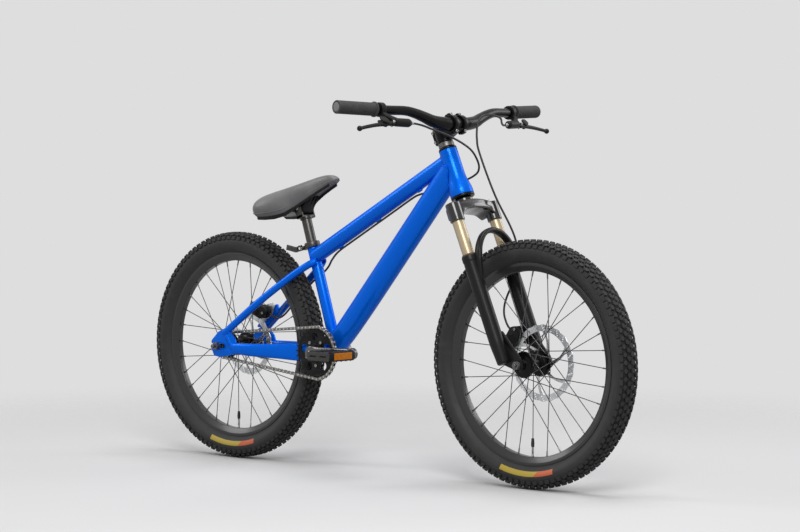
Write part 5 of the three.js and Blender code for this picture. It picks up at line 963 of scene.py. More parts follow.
def axle_set(name, body, node, axle, length, plates_at, nut, locknuts):
    """A threaded axle with a washer and a nut outside each plate, and a locknut inside it."""
    place = upright(axle)
    half = length / 2
    rod = turned("rod", [(0, -half), (4.2, -half), (4.8, -half + 0.8), (4.8, half - 0.8), (4.2, half), (0, half)],
                 dark_steel, place, axis="Y", sides=32, soft=0.2)
    pieces = [rod]
    for side in (-1, 1):
        near, washer_end, far = (side * (plates_at + out) for out in (0.1, 1.6, nut))
        washer_profile = [(5, near), (9.8, near), (9.8, washer_end), (5, washer_end)]
        pieces += [turned("washer", washer_profile, dark_steel, place, axis="Y", sides=40, soft=0.3),
                   plate("nut", hexagon(10.3), *sorted((washer_end, far)), dark_steel, place=place, edge=0.7)]
    for low, high in locknuts:
        lock_profile = [(4.9, low), (8.9, low), (8.9, high), (4.9, high)]
        pieces.append(turned("locknut", lock_profile, dark_steel, place, axis="Y", sides=36, soft=0.5))
    stands_for(joined(name, *pieces), body, "steel", node)


axle_set("front_axle_and_nuts", "fork_lowers_body", "front_axle", front_axle, length=144, plates_at=58.2, nut=8,
         locknuts=((-49.8, -45.4), (45.4, 49.8)))
axle_set("rear_axle_and_nuts", "frame_body", "rear_axle", rear_axle, length=192, plates_at=74.7, nut=12,
         locknuts=((-67.3, -59.5), (45.4, 67.3)))

# ---------------------------------------------------------------- Fork
# A forged crown holds two gold-coloured stanchions, which slide in cast magnesium legs.
# An arch joins the legs in front of the tyre, and open ends below them take the axle.

gold_metal = plain_finish("gold_stanchion", 600, 2, (0.42, 0.33, 0.205, 1), (0.52, 0.43, 0.285, 1), 0.34, 0.1,
                          Metallic=0.5, Coat_Weight=0.1, Coat_Roughness=0.1)
crown_black = plain_finish("polished_black_crown", 500, 3, (0.006, 0.006, 0.006, 1), (0.016, 0.016, 0.016, 1), 0.18,
                           0.12, Metallic=0.3, Coat_Weight=0.7, Coat_Roughness=0.07, Specular_IOR_Level=0.4)
leg_black = black_metal("fork_leg_black", (0.014, 0.0138, 0.0135, 1), 0.32, 0.44, 0.3)
fork_x, fork_y, fork_offset = 17, 68, 45
stanchion_radius, leg_radius, bore_radius, bore_floor = 14, 17.6, 14.6, 66
crown_low, crown_tall = 367, 64.4
quarter_z, quarter_x = (Matrix.Rotation(math.radians(90), 4, axis) for axis in "ZX")
crown_turn = steering_place @ quarter_z
leg_places = [steering_place @ Matrix.Translation((fork_x, side * fork_y, 0)) for side in (-1, 1)]
crown_shares = [(-0.91, 0.14), (-0.59, 0.39), (0, 0.45), (0.59, 0.39), (0.91, 0.14), (0.91, 0.67), (0.44, 0.79),
                (0, 0.82), (-0.44, 0.79), (-0.91, 0.67)]
crown_outline = [(out * fork_y, crown_low + up * crown_tall) for out, up in crown_shares]
crown = plate("crown", softened(crown_outline, 9, steps=5), -33, 15, crown_black, place=crown_turn, edge=3.6)
parts = [crown, turned("boss", [(0, 398), (20, 398), (21, 402), (21, 428), (19, 431.2), (0, 431.2)], crown_black,
                       steering_place, soft=1.5),
         turned("steerer", [(0, 425), (14.3, 425), (14.3, 612), (0, 612)], black_paint, steering_place)]
socket_profile = [(14.3, 367.3), (16.8, 367.3), (17.6, 368.6), (17.6, 411), (16.6, 412.3), (0, 412.3)]
parts += [turned("socket", socket_profile, crown_black, leg_place, soft=1.2) for leg_place in leg_places]
nut_place = leg_places[0] @ Matrix.Translation((0, 0, 412.2)) @ quarter_x
parts.append(plate("cap_nut", hexagon(10), -4.2, 0, black_paint, place=nut_place, edge=0.8))
stands_for(joined("fork_crown_and_sockets", *parts), "steering_body", "black_paint", "fork_crown_and_steerer")
tube_profile = [(12, 152), (stanchion_radius, 152), (stanchion_radius, 409), (12, 409)]
for label, leg_place in (("left", leg_places[1]), ("right", leg_places[0])):
    tube = turned(label + "_stanchion_tube", tube_profile, gold_metal, leg_place, sides=64)
    stands_for(tube, "steering_body", "gold", label + "_stanchion")

knob_place = leg_places[1] @ Matrix.Translation((0, 0, 412.9)) @ quarter_x
knob_angles = np.linspace(0, 2 * math.pi, 121)[:-1]
knob_radii = 10.4 + 0.6 * np.cos(12 * knob_angles)
knob_outline = list(zip(knob_radii * np.cos(knob_angles), knob_radii * np.sin(knob_angles)))
knob = plate("knob", knob_outline, -7.6, 0, black_paint, place=knob_place, edge=0.9)
knob_dot = turned("dot", [(0, 420.2), (2.6, 420.2), (2.6, 421), (0, 421)], silver_metal, leg_places[1], sides=20,
                  soft=0.2)
stands_for(joined("fork_adjuster_knob_fluted", knob, knob_dot), "fork_adjuster_knob_body", "black_paint",
           "fork_adjuster_knob")


def drilled(piece, drill):
    """The piece with the drill's room cut out of it."""
    cut = piece.modifiers.new("cut", "BOOLEAN")
    cut.object, cut.solver = drill, "EXACT"
    mesh = plain_mesh(piece)
    piece.modifiers.clear()
    piece.data = mesh
    return piece


drill_profile = [(0, bore_floor), (bore_radius, bore_floor), (bore_radius, 300), (0, 300)]
drill = joined("drill", *[turned("bore", drill_profile, leg_black, leg_place, soft=0) for leg_place in leg_places])
lower_parts = []
leg_profile = [(0, 14), (12, 14), (14.6, 17), (15.2, 30), (17.3, 58), (leg_radius, 66), (leg_radius, 266),
               (18.6, 268), (18.6, 279.4), (17.8, 280.5), (bore_radius, 280.5), (bore_radius, bore_floor),
               (0, bore_floor - 2)]
drop_outline = [(3.15, 18), (3.15, 83.7), (20, 88), (31, 90), (58.5, 12), (57.5, -5),
                *arc(fork_offset, 0, 14, -40, -68, 3), (50.2, -13), (50.2, -2), *arc(fork_offset, 0, 5.2, 0, 180, 10),
                (39.8, -2), (39.8, -13), (33.75, -8.1)]
drop_outline = softened(drop_outline, 2.5)
for side, leg_place in zip((-1, 1), leg_places):
    lower_parts.append(turned("leg", leg_profile, leg_black, leg_place, soft=2.0))
    drop = plate("dropout", drop_outline, *sorted((side * 50.2, side * 57.9)), leg_black, place=steering_place,
                 edge=1.6)
    lower_parts.append(drilled(drop, drill))
    web = [((14, side * 58.5, 20), 16, 14), ((18, side * 62, 60), 22, 20), ((17, side * 67, 96), 30, 22)]
    web = swept("web", eased(web, 5), leg_black, steering_place, side=(1, 0, 0), sides=32)
    lower_parts.append(drilled(web, drill))
arch_shares = [(0.31, 0.985, 0), (0.66, 0.956, 0.284), (0.875, 0.81, 0.625), (0.97, 0.47, 0.9), (1, 0, 1)]
half_arch = [((18, 66, 216), 30, 16)]
for ahead, out, up in arch_shares:
    half_arch.append(((17.9 + 32 * ahead, out * fork_y, 243 + up * 88), 30 - 12 * min(2.6 * up, 1), 12))
whole_arch = half_arch + [((x, -y, z), w, h) for (x, y, z), w, h in reversed(half_arch[:-1])]
arch = swept("arch", eased(whole_arch, 7), leg_black, steering_place, side=(1, 0, 0), sides=36, squareness=0.62)
lower_parts.append(drilled(arch, drill))
front_brake_turn, front_brake_reach = 124, 102.6  # from the front axle
brake_x = fork_offset + front_brake_reach * math.cos(math.radians(front_brake_turn))
brake_z = front_brake_reach * math.sin(math.radians(front_brake_turn))
for lift in (-14, 14):
    z = brake_z + lift
    lug = [((brake_x, 55, z), 9, 10), ((4, 60, z), 12, 11), ((15, 62, z), 14, 13)]
    lower_parts.append(drilled(swept("lug", lug, leg_black, steering_place, sides=28, squareness=0.5), drill))
bpy.data.objects.remove(drill)
stands_for(joined("fork_lower_legs", *lower_parts), "fork_lowers_body", "black_paint", "fork_lowers")

seal_rubber = plain_finish("seal_rubber", 300, 3, (0.06, 0.035, 0.02, 1), (0.12, 0.075, 0.045, 1), 0.5, 0.2,
                           Specular_IOR_Level=0.4)
seal_profile = [(14.15, 280.4), (17.2, 280.4), (17.4, 282.4), (15.6, 284.6), (14.3, 285)]
seals = [turned("seal", seal_profile, seal_rubber, leg_place, soft=0.5) for leg_place in leg_places]
stands_for(joined("fork_seals", *seals), "fork_lowers_body", "hose_rubber")

# ---------------------------------------------------------------- Stem and headset top
# A forged stem clamps the steerer with two bolts and the handlebar with a four-bolt plate.
# A plain metal spacer lies under it, and a cap with one bolt closes it.

bar_z, bar_x, clamp_outside, clamp_inside = 602.7, 45.8, 21.5, 16.05
clamp = turned("clamp", [(14.5, 573.8), (17.6, 573.8), (18.6, 575.2), (18.6, 615.2), (17.6, 616.5), (14.5, 616.5)],
               black_paint, steering_place, soft=1.2)
neck = swept("neck", eased([((9, 0, 595.2), 30, 39), ((20, 0, 597.2), 31, 37), ((34, 0, 601.5), 42, 37)], 6),
             black_paint, steering_place, sides=44, squareness=0.55)
pinch = swept("pinch", [((-16, 0, 595), 16, 40), ((-25.4, 0, 595), 15, 38)], black_paint, steering_place, sides=36,
              squareness=0.45)
rear_band = arc(bar_x, bar_z, clamp_outside, 92, 268, 22) + arc(bar_x, bar_z, clamp_inside, 268, 92, 22)
rear_half = plate("rear_half", rear_band, -23, 23, black_paint, place=steering_place, edge=1.2)
stem_parts, plate_parts = [clamp, neck, pinch, rear_half], []
band = arc(bar_x, bar_z, clamp_outside, -88, 88, 22) + arc(bar_x, bar_z, clamp_inside, 88, -88, 22)
rear_ear, front_ear = [(-9, 15), (-0.5, 15), (-0.5, 26), (-9, 24)], [(8.2, 14), (8.2, 25), (0.5, 26), (0.5, 15)]
for side in (-1, 1):
    plate_parts.append(plate("band", band, *sorted((side * 9, side * 22.8)), black_paint, place=steering_place,
                             edge=1.2))
    for up in (-1, 1):
        for owners, shape in ((stem_parts, rear_ear), (plate_parts, front_ear)):
            ear = softened([(bar_x + x, bar_z + up * z) for x, z in shape], 2.5)
            owners.append(plate("ear", ear, *sorted((side * 10, side * 21)), black_paint, place=steering_place,
                                edge=0.9))
for low, high in ((52, 88), (-88, -52)):
    middle = arc(bar_x, bar_z, 20.8, low, high, 8) + arc(bar_x, bar_z, clamp_inside, high, low, 8)
    plate_parts.append(plate("middle", middle, -10, 10, black_paint, place=steering_place, edge=0.6))
stands_for(joined("stem_forging", *stem_parts), "steering_body", "black_paint", "stem")
stands_for(joined("stem_front_plate", *plate_parts), "steering_body", "black_paint", "stem_faceplate")


def socket_bolt(name, finish, radius=3.6, height=3.4):
    """The head of a cap screw with its socket, which opens towards Z."""
    profile = [(0, 0), (radius, 0), (radius, height), (radius * 0.62, height), (radius * 0.56, height - 1.8),
               (0, height - 1.8)]
    return turned(name, profile, finish, sides=18, soft=0.35)


bolt_points, bolt_turns = [], []
for side in (-1, 1):
    for up in (-1, 1):
        bolt_points.append(steering_place @ Vector((bar_x + 7.6, side * 15.5, bar_z + up * 21.2)) * MM)
        bolt_turns.append(facing(head_ahead))
for lift in (583, 607):
    bolt_points.append(steering_place @ Vector((-21.5, -7.4, lift)) * MM)
    bolt_turns.append(facing((0, -1, 0)))
bolt_points.append(steering_place @ Vector((0, 0, 618.9)) * MM)
bolt_turns.append(facing(head_up))
stem_bolts = copies("stem_bolts", socket_bolt("stem_bolt", steel_metal), bolt_points, bolt_turns, steel_metal)
stands_for(stem_bolts, "steering_body", "steel")
spacer_profile = [(14.6, 561.4), (18.3, 561.4), (19, 562.2), (19, 572.4), (18.3, 573.2), (14.6, 573.2)]
spacer = turned("headset_spacer_ring", spacer_profile, dark_steel, steering_place, soft=0.6)
stands_for(spacer, "steering_body", "silver", "headset_spacer")
cap_profile = [(0, 614), (12, 614), (12, 616.8), (18.2, 616.8), (18.2, 618.8), (15.6, 620.6), (5, 620.9), (4.6, 619),
               (0, 619)]
top_cap = turned("steerer_top_cap_disc", cap_profile, black_paint, steering_place, soft=0.7)
stands_for(top_cap, "steering_body", "black_paint", "steerer_top_cap")

# ---------------------------------------------------------------- Handlebar and grips
# One bent and butted aluminium tube, widest at the stem and thinner towards its ends.
# The moulded rubber grips have an inner flange, fine ribs and a paler plug in the end.

bar_shares = [(0, 0, 0, 0), (0.06, 0, 0, 0), (0.11, 0.01, 0.004, 0.04), (0.207, 0.123, 0.064, 0.25),
              (0.29, 0.338, 0.063, 0.6), (0.373, 0.534, 0.075, 0.85), (0.456, 0.658, 0.142, 1),
              (0.6, 0.725, 0.362, 1), (0.8, 0.8625, 0.681, 1), (1, 1, 1, 1)]
bar_half, bar_rise, bar_setback = 359, 50.6, 29.6
bar_clamp_radius, bar_thinning = 15.9, 4.8
half_bar = []
for out, up, back, thin in bar_shares:
    width = 2 * (bar_clamp_radius - bar_thinning * thin)
    half_bar.append(((bar_x - back * bar_setback, out * bar_half, bar_z + up * bar_rise), width, width))
bar_stations = [((x, -y, z), w, h) for (x, y, z), w, h in reversed(half_bar[1:])] + half_bar
bar = swept("handlebar_tube", eased(bar_stations, 6), black_paint, steering_place, side=(1, 0, 0), crease=50)
stands_for(bar, "steering_body", "black_paint", "handlebar")
bar_end = np.array(half_bar[-1][0])
bar_way = bar_end - np.array(half_bar[-3][0])
bar_way /= np.linalg.norm(bar_way)


def along_bar(origin, ahead=(1, 0, 0)):
    """A frame in the steering frame whose Y runs outwards along the bar's left end."""
    y = Vector(bar_way)
    x = Vector(ahead)
    x = (x - y * x.dot(y)).normalized()
    made = Matrix((x, y, x.cross(y))).transposed().to_4x4()
    made.translation = Vector(origin)
    return steering_place @ made


def grip_finish():
    """Soft dark rubber with a fine pebbled grain."""
    grip = Finish("grip_rubber", Specular_IOR_Level=0.35)
    grime = grip.between(grip.noise(60, 5, 0.7), 0.4, 0.8)
    grip.show(Base_Color=grip.tint(grime, (0.036, 0.036, 0.0365, 1), (0.062, 0.062, 0.061, 1)))
    grip.show(Roughness=0.68 + grime * 0.15)
    grip.relief(grip.node("ShaderNodeTexVoronoi", {}, {"Vector": grip.place, "Scale": 420}), 0.25, 0.0005)
    return grip.material


grip_rubber = grip_finish()
plug_grey = plain_finish("bar_plug", 500, 2, (0.16, 0.16, 0.16, 1), (0.24, 0.24, 0.24, 1), 0.5, 0.12, Metallic=0.1,
                         Specular_IOR_Level=0.3)
ribs = []
rib_count, rib_pitch = 21, 4.6
for k in range(rib_count):
    low = -100 + rib_pitch * k
    ribs += [(14.5, low), (15.5, low + 0.9), (15.5, low + 3.0), (14.5, low + 3.9)]
grip_profile = [(11.3, -109), (17.2, -109), (18, -108.2), (18, -105.8), (17.2, -105), (15, -104), *ribs, (15.4, -2.2),
                (15.6, -1.2), (15.6, 1.6), (14.6, 3), (11.3, 3)]
left_grip = turned("left_grip_rubber", grip_profile, grip_rubber, along_bar(bar_end), axis="Y", sides=56, soft=0.4)
left_plug = turned("left_bar_plug", [(0, 2.2), (10.8, 2.2), (10.8, 2.9), (9, 3.4), (0, 3.6)], plug_grey,
                   along_bar(bar_end), axis="Y", sides=48, soft=0.4)
for label, grip, plug in (("left", left_grip, left_plug),
                          ("right", mirrored(left_grip, "right_grip_rubber"), mirrored(left_plug, "right_bar_plug"))):
    stands_for(grip, "steering_body", "grip_rubber", label + "_grip")
    stands_for(plug, "steering_body", "black_plastic")

# ---------------------------------------------------------------- Brake levers
# Each lever turns on a pin in a cast body that a clamp holds on the bar beside the grip.
# The cylinder along the bar ends in the fitting of the hose.

matte_black = black_metal("matte_black_metal", (0.008, 0.008, 0.0085, 1), 0.4, 0.55, 0.15)
lever_origin = bar_end + bar_way * (235 - bar_end[1]) / bar_way[1]
droop = math.radians(65)
lever_place = along_bar(lever_origin, (math.cos(droop), 0, -math.sin(droop)))
clamp_profile = [(11.4, -6.5), (16.4, -6.5), (17, -5.7), (17, 5.7), (16.4, 6.5), (11.4, 6.5)]
cylinder_profile = [(0, -65), (7, -65), (8.6, -62), (10, -59), (10, -22), (9.2, -18.2), (7, -17.2), (0, -17.2)]
cylinder_place = lever_place @ Matrix.Translation((42, 0, 0))
body_parts = [turned("clamp", clamp_profile, matte_black, lever_place, axis="Y", sides=56, soft=0.7),
              turned("cylinder", cylinder_profile, matte_black, cylinder_place, axis="Y", sides=44, soft=1.4)]
web = [((14, 0, 0), 12, 13), ((24, -6, 0), 13, 13), ((34, -18, 0), 16, 14), ((41, -26, 0), 20, 15)]
body_parts.append(swept("web", eased(web, 5), matte_black, lever_place, sides=32, squareness=0.6))
for low, high in ((-7.4, -3.9), (3.9, 7.4)):
    ear_turn = lever_place @ Matrix.Translation((0, 0, (low + high) / 2)) @ quarter_x
    ear = [(32, -24), (32, -9), (41, -3.6), (52, -4.2), (53.5, -12), (50, -19), (44, -26)]
    half_ear = (high - low) / 2
    body_parts.append(plate("ear", softened(ear, 4), -half_ear, half_ear, matte_black, place=ear_turn, edge=0.6))
pin_x, pin_y = 47, -10
pin_place = lever_place @ Matrix.Translation((pin_x, pin_y, 0))
pin = turned("pin", [(0, -8.4), (3.4, -8.4), (3.4, 8.4), (0, 8.4)], steel_metal, pin_place, sides=24, soft=0.5)
fitting_profile = [(0, -74), (2.8, -74), (3.4, -70), (4.6, -69), (4.6, -64.5), (0, -64.5)]
fitting = turned("fitting", fitting_profile, steel_metal, cylinder_place, axis="Y", sides=20, soft=0.4)
bolt = moved(socket_bolt("bolt", steel_metal, 2.8, 3),
             lever_place @ Matrix.Translation((15, 0, -7.2)) @ Matrix.Rotation(math.radians(180), 4, "X"))
left_body = joined("left_brake_body_casting", *body_parts, pin, fitting, bolt)
blade_shares = [(0, 0, 0.9), (0.1, 0.05, 0.86), (0.2, 0.12, 0.8), (0.5, 0.36, 0.7), (0.8, 0.72, 0.66),
                (0.95, 0.94, 0.66)]
blade_length, blade_bow = 107, 21
blade = [((pin_x + blade_bow * ahead, pin_y + blade_length * out, -3 * out), 12 * wide, 9 * (1 - 0.25 * out))
         for out, ahead, wide in blade_shares]
blade_bar = swept("blade", eased(blade, 6), matte_black, lever_place, side=(1, 0, 0), sides=32, squareness=0.7)
ball_profile = arc(0, 0, 6.4, -90, 90, 16)
ball_place = pin_place @ Matrix.Translation((blade_bow, blade_length, -3))
ball = turned("ball", ball_profile, matte_black, ball_place, sides=32, soft=0, closed=False)
root_profile = [(2.9, -3.4), (6, -3.4), (6, 3.4), (2.9, 3.4)]
root = turned("root", root_profile, matte_black, pin_place, sides=32, soft=0.6)
left_blade = joined("left_brake_lever_blade", blade_bar, ball, root)
for label, body_piece, blade_piece in (("left", left_body, left_blade),
                                       ("right", mirrored(left_body, "right_brake_body_casting"),
                                        mirrored(left_blade, "right_brake_lever_blade"))):
    stands_for(body_piece, "steering_body", "matte_black", label + "_brake_body")
    stands_for(blade_piece, label + "_brake_lever_body", "matte_black", label + "_brake_lever")

# ---------------------------------------------------------------- Disc brakes and hoses
# Two-piston callipers straddle the rotors, the front one on the fork's lugs and the rear one on an adapter.
# The rubber-covered hoses are swept along fixed routes as rigid lines.


def calliper(name, place):
    """Two halves with their piston caps, a bridge over the disc, pad fins and two screws."""
    outline = [(-29, -6.1), (-18.1, -17), (18.1, -17), (29, -6.1), (29, 6.1), (18.1, 17), (-18.1, 17), (-29, 6.1)]
    bridge = [(-26, 2.5), (26, 2.5), (26, 8), (17, 16), (-17, 16), (-26, 8)]
    rounded = softened(outline, 5)
    pieces = [plate("inner", rounded, 26.2, 35.4, matte_black, place=place, edge=1.8),
              plate("outer", rounded, 40.6, 49.9, matte_black, place=place, edge=1.8),
              plate("bridge", softened(bridge, 3), 34.5, 41.5, matte_black, place=place, edge=0.4)]
    piston_place = place @ Matrix.Translation((0, 0, -3))
    for low, high in ((25.2, 27.6), (48.6, 50.7)):
        cap_profile = [(0, low), (9.4, low), (10.6, low + 0.8), (10.6, high), (0, high)]
        pieces.append(turned("piston_cap", cap_profile, hub_black, piston_place, axis="Y", sides=40, soft=0.3))
    fin_outline = softened([(-9, 10), (9, 10), (9, 19.4), (-9, 19.4)], 1.5)
    fins = plate("fins", fin_outline, 36.2, 39.8, silver_metal, place=place, edge=0.4)
    screws = [moved(socket_bolt("screw", steel_metal, 3.2, 3), place @ Matrix.Translation((x, 26.6, 2)) @ quarter_x)
              for x in (-22, 22)]
    return joined(name, *pieces, fins, *screws)


def calliper_place(axle_place, degrees, reach):
    """A frame out from the axle, with Z away from it."""
    angle = math.radians(degrees)
    away = Vector((math.cos(angle), 0, math.sin(angle)))
    side = Vector((0, 1, 0))
    made = Matrix((side.cross(away), side, away)).transposed().to_4x4()
    made.translation = away * reach
    return axle_place @ made


fork_axle_place = steering_place @ Matrix.Translation((fork_offset, 0, 0))
front_brake_place = calliper_place(fork_axle_place, front_brake_turn, front_brake_reach)
rear_brake_place = calliper_place(rear_place, 66.5, 96)
stands_for(calliper("front_calliper", front_brake_place), "fork_lowers_body", "matte_black", "front_brake_caliper")
stands_for(calliper("rear_calliper", rear_brake_place), "frame_body", "matte_black", "rear_brake_caliper")
adapter_outline = [(21.6, 61.2), (40.3, 97.2), (66.2, 108), (80.6, 100.8), (68.4, 75.6), (43.2, 56.2)]
adapter = plate("rear_brake_adapter_plate", softened(adapter_outline, 5), 50.3, 54.3, silver_metal, place=rear_place,
                edge=0.6)
stands_for(adapter, "frame_body", "silver", "rear_brake_adapter")
mount_points = [rear_place @ Vector((x, 63.5, z)) * MM for x, z in ((50, 79), (72, 92))]
to_the_left = [facing((0, 1, 0))] * 2
mount_bolts = copies("rear_brake_bolts", socket_bolt("bolt", steel_metal, 4.6, 4.4), mount_points, to_the_left,
                     steel_metal)
stands_for(mount_bolts, "frame_body", "steel")
lug_points = [steering_place @ Vector((brake_x, 59.3, brake_z + lift)) * MM for lift in (-14, 14)]
lug_bolts = copies("front_brake_bolts", socket_bolt("bolt", steel_metal, 4.2, 4), lug_points, to_the_left, steel_metal)
stands_for(lug_bolts, "fork_lowers_body", "steel")

hose_rubber = plain_finish("hose_rubber", 200, 3, (0.009, 0.009, 0.009, 1), (0.02, 0.02, 0.02, 1), 0.38, 0.18,
                           Specular_IOR_Level=0.45)
rear_hose_points = [
    (259.7, -169.2, 842), (261.1, -159.5, 841.6), (266.5, -140, 837.5), (273, -112, 828.5), (279, -66, 815.5),
    (282, -14, 796), (282, 20, 777.5), (280.5, 43, 751), (275, 50, 733), (262, 50, 721.5), (242, 46.5, 712),
    (218, 39, 704.5), (190, 32.5, 695.5), (166, 29.5, 688), (148, 20, 681.5), (130, 5, 675.8), (112, 0, 667.1),
    (60, 0, 638.7), (-6, 0, 602.6), (-72, 0, 566.5), (-130, 1, 534.6), (-160, 8, 513), (-184, 20.5, 494.5),
    (-206, 26.5, 479.5), (-232, 32, 465.5), (-262, 39, 448.5), (-304, 47, 418), (-340, 50, 389), (-366, 48, 365),
    (-386, 46, 356.5), (-403.8, 45.4, 361.3), (-414.6, 45.3, 366)]
front_hose_points = [
    (259.7, 169.2, 842), (261.1, 159.5, 841.8), (268, 145, 847), (281, 126, 856.5), (284, 108, 862), (280, 84, 865.5),
    (275, 63, 861.5), (271.5, 52, 846), (273, 46, 826), (275.7, 43.5, 806), (279, 45, 783), (299.3, 52, 724),
    (319.9, 64, 665.3), (345, 83, 603), (356, 92, 565), (361, 93, 530), (358, 92, 500), (352, 86, 470),
    (346, 74, 442), (346, 62, 419), (353, 51, 398), (363, 45.5, 380), (373.8, 42.5, 366.8), (384.4, 42, 360.1)]
for name, route, bodies, ends in (
        ("rear_brake_hose_line", rear_hose_points, ("steering_body", "frame_body"),
         ((0.275, 0.045, 0.75), (0.13, 0.005, 0.676))),
        ("front_brake_hose_line", front_hose_points, ("steering_body", "fork_lowers_body"),
         ((0.284, 0.05, 0.785), (0.35, 0.08, 0.45)))):
    line = swept(name, eased([(point, 5, 5) for point in route], 7), hose_rubber, sides=16, crease=70)
    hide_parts(name.replace("_line", ""))
    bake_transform(line)

# ---------------------------------------------------------------- Seatpost and clamp
# A dark grey aluminium post with a two-sided head, held in the frame by a split collar.
# The collar's lever closes it by hand.

gunmetal = metal_finish("gunmetal", (0.075, 0.073, 0.07, 1), 0.3, 0.42, 260, 0.85)
saddle_bolt_height = 373.75
saddle_bolt_place = seat_place @ Matrix.Translation((0, 0, saddle_bolt_height))
post_profile = [(11.2, 154), (12.7, 154), (12.7, 343), (11.2, 343)]
post_head_profile = [(0, 342.8), (14.6, 342.8), (15.5, 343.8), (15.5, 349.6), (14.4, 350.7), (0, 350.7)]
yoke = [((0, -23.2, 349.6), 21, 8), ((0, 23.2, 349.6), 21, 8)]
post_parts = [turned("tube", post_profile, gunmetal, seat_place, sides=64),
              turned("head", post_head_profile, gunmetal, seat_place, soft=1.0),
              swept("yoke", yoke, gunmetal, seat_place, side=(1, 0, 0), sides=28, squareness=0.4)]
ear = arc(0, saddle_bolt_height, 11, -20, 200, 18) + [(-11, 349), (-9, 346.4), (9, 346.4), (11, 349)]
for side in (-1, 1):
    post_parts.append(plate("ear", ear, *sorted((side * 18.4, side * 23.2)), gunmetal, place=seat_place, edge=1.0))
    post_parts.append(plate("nut", hexagon(6.4), *sorted((side * 23.2, side * 26.6)), steel_metal,
                            place=saddle_bolt_place, edge=0.6))
post_parts.append(turned("bolt", [(0, -18.6), (3.9, -18.6), (3.9, 18.6), (0, 18.6)], steel_metal, saddle_bolt_place,
                         axis="Y", sides=24))
stands_for(joined("seatpost_and_head", *post_parts), "seatpost_body", "gunmetal", "seatpost")
collar_outline = arc(0, 0, 19.4, -177, 177, 60) + arc(0, 0, 14.7, 177, -177, 60)
collar = [plate("collar", [(x, -z) for x, z in collar_outline], 269.6, 283.3, gunmetal,
                place=seat_place @ quarter_x, edge=0.9)]
ear = [(-15.5, 271.4), (-31.6, 271.4), (-31.6, 281.4), (-15.5, 281.4)]
for side in (-1, 1):
    collar.append(plate("ear", softened(ear, 2.5), *sorted((side * 1.1, side * 7.9)), gunmetal, place=seat_place,
                        edge=0.9))
collar.append(turned("pin", [(0, -17), (3, -17), (3, 12), (5, 12.2), (5, 16.6), (0, 17)], steel_metal,
                     seat_place @ Matrix.Translation((-26, 0, 276.4)), axis="Y", sides=24, soft=0.4))
stands_for(joined("seat_clamp_collar_ring", *collar), "frame_body", "gunmetal", "seat_clamp_collar")


def refined(name, node, finish):
    """A node's own mesh with its edges rounded."""
    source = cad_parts[node]
    mesh = source.data.copy()
    mesh.transform(source.matrix_world)
    work = bmesh.new()
    work.from_mesh(mesh)
    bmesh.ops.remove_doubles(work, verts=work.verts, dist=2e-6)
    bmesh.ops.dissolve_limit(work, angle_limit=math.radians(2), verts=work.verts, edges=work.edges)
    work.to_mesh(mesh)
    work.free()
    host = linked(name + "_raw", mesh)
    bevel = host.modifiers.new("bevel", "BEVEL")
    bevel.width = 0.9 * MM
    bevel.segments = 2
    bevel.angle_limit = math.radians(25)
    plain = plain_mesh(host)
    bpy.data.objects.remove(host)
    plain.materials.clear()
    plain.materials.append(finish)
    plain.shade_smooth()
    plain.set_sharp_from_angle(angle=math.radians(40))
    return linked(name, plain)


stands_for(refined("seat_clamp_lever_forging", "seat_clamp_lever", gunmetal), "seat_clamp_lever_body", "gunmetal",
           "seat_clamp_lever")

# ---------------------------------------------------------------- Saddle
# A moulded black shell carries foam under a dark grey vinyl cover with a piped seam.
# The cover bulges over the shell's rim, narrows to the nose and tilts on the post's bolt.

saddle_place = upright((-249.714, 0, 640.06), (0.961262, 0, 0.275637))
saddle_length, saddle_half, saddle_back, saddle_top, saddle_depth = 262, 66, -132, 60, 68
saddle_rows = [(0, 0.5, 0.26, 0.57), (0.023, 0.82, 0.12, 0.71), (0.076, 0.96, 0.045, 0.82), (0.16, 1, 0, 0.91),
               (0.275, 0.96, 0, 1), (0.39, 0.77, 0.007, 1), (0.504, 0.55, 0.007, 0.85), (0.62, 0.41, 0.007, 0.71),
               (0.733, 0.34, 0.015, 0.6), (0.847, 0.3, 0.03, 0.51), (0.93, 0.27, 0.09, 0.456),
               (0.977, 0.21, 0.19, 0.41), (1, 0.11, 0.28, 0.37)]
saddle_rows = [(saddle_back + saddle_length * along, saddle_half * half, saddle_top - saddle_depth * top,
                saddle_top - saddle_depth * bottom) for along, half, top, bottom in saddle_rows]
half_section = [(0, 0), (0.36, 0.015), (0.64, 0.075), (0.85, 0.22), (0.97, 0.43), (1, 0.63), (0.96, 0.83), (0.86, 1)]
whole_section = [(-out, down) for out, down in reversed(half_section[1:])] + half_section
under_section = [(0.6, 0.97), (0.25, 0.93), (-0.25, 0.93), (-0.6, 0.97)]


def saddle_finish():
    """Dark grey vinyl with a leather grain, a little shinier where it is worn."""
    vinyl = Finish("saddle_vinyl", Specular_IOR_Level=0.4)
    wear = vinyl.between(vinyl.noise(14, 4, 0.6), 0.4, 0.75)
    vinyl.show(Base_Color=vinyl.tint(wear, (0.125, 0.125, 0.127, 1), (0.17, 0.17, 0.172, 1)))
    vinyl.show(Roughness=0.36 + wear * 0.12)
    leather = vinyl.node("ShaderNodeTexVoronoi", {"feature": "SMOOTH_F1"}, {"Vector": vinyl.place, "Scale": 760})
    vinyl.relief(leather, 0.09, 0.0004)
    return vinyl.material


vinyl = saddle_finish()
pad_rings = []
for x, half, top, bottom in saddle_rows:
    pad_rings.append([(x, out * half, top - down * (top - bottom)) for out, down in whole_section + under_section])


def shrunk(ring, shift, share):
    """The ring made smaller about its middle and moved forwards."""
    middle = np.mean(np.array(ring), axis=0)
    return [tuple(middle + (np.array(point) - middle) * share + (shift, 0, 0)) for point in ring]


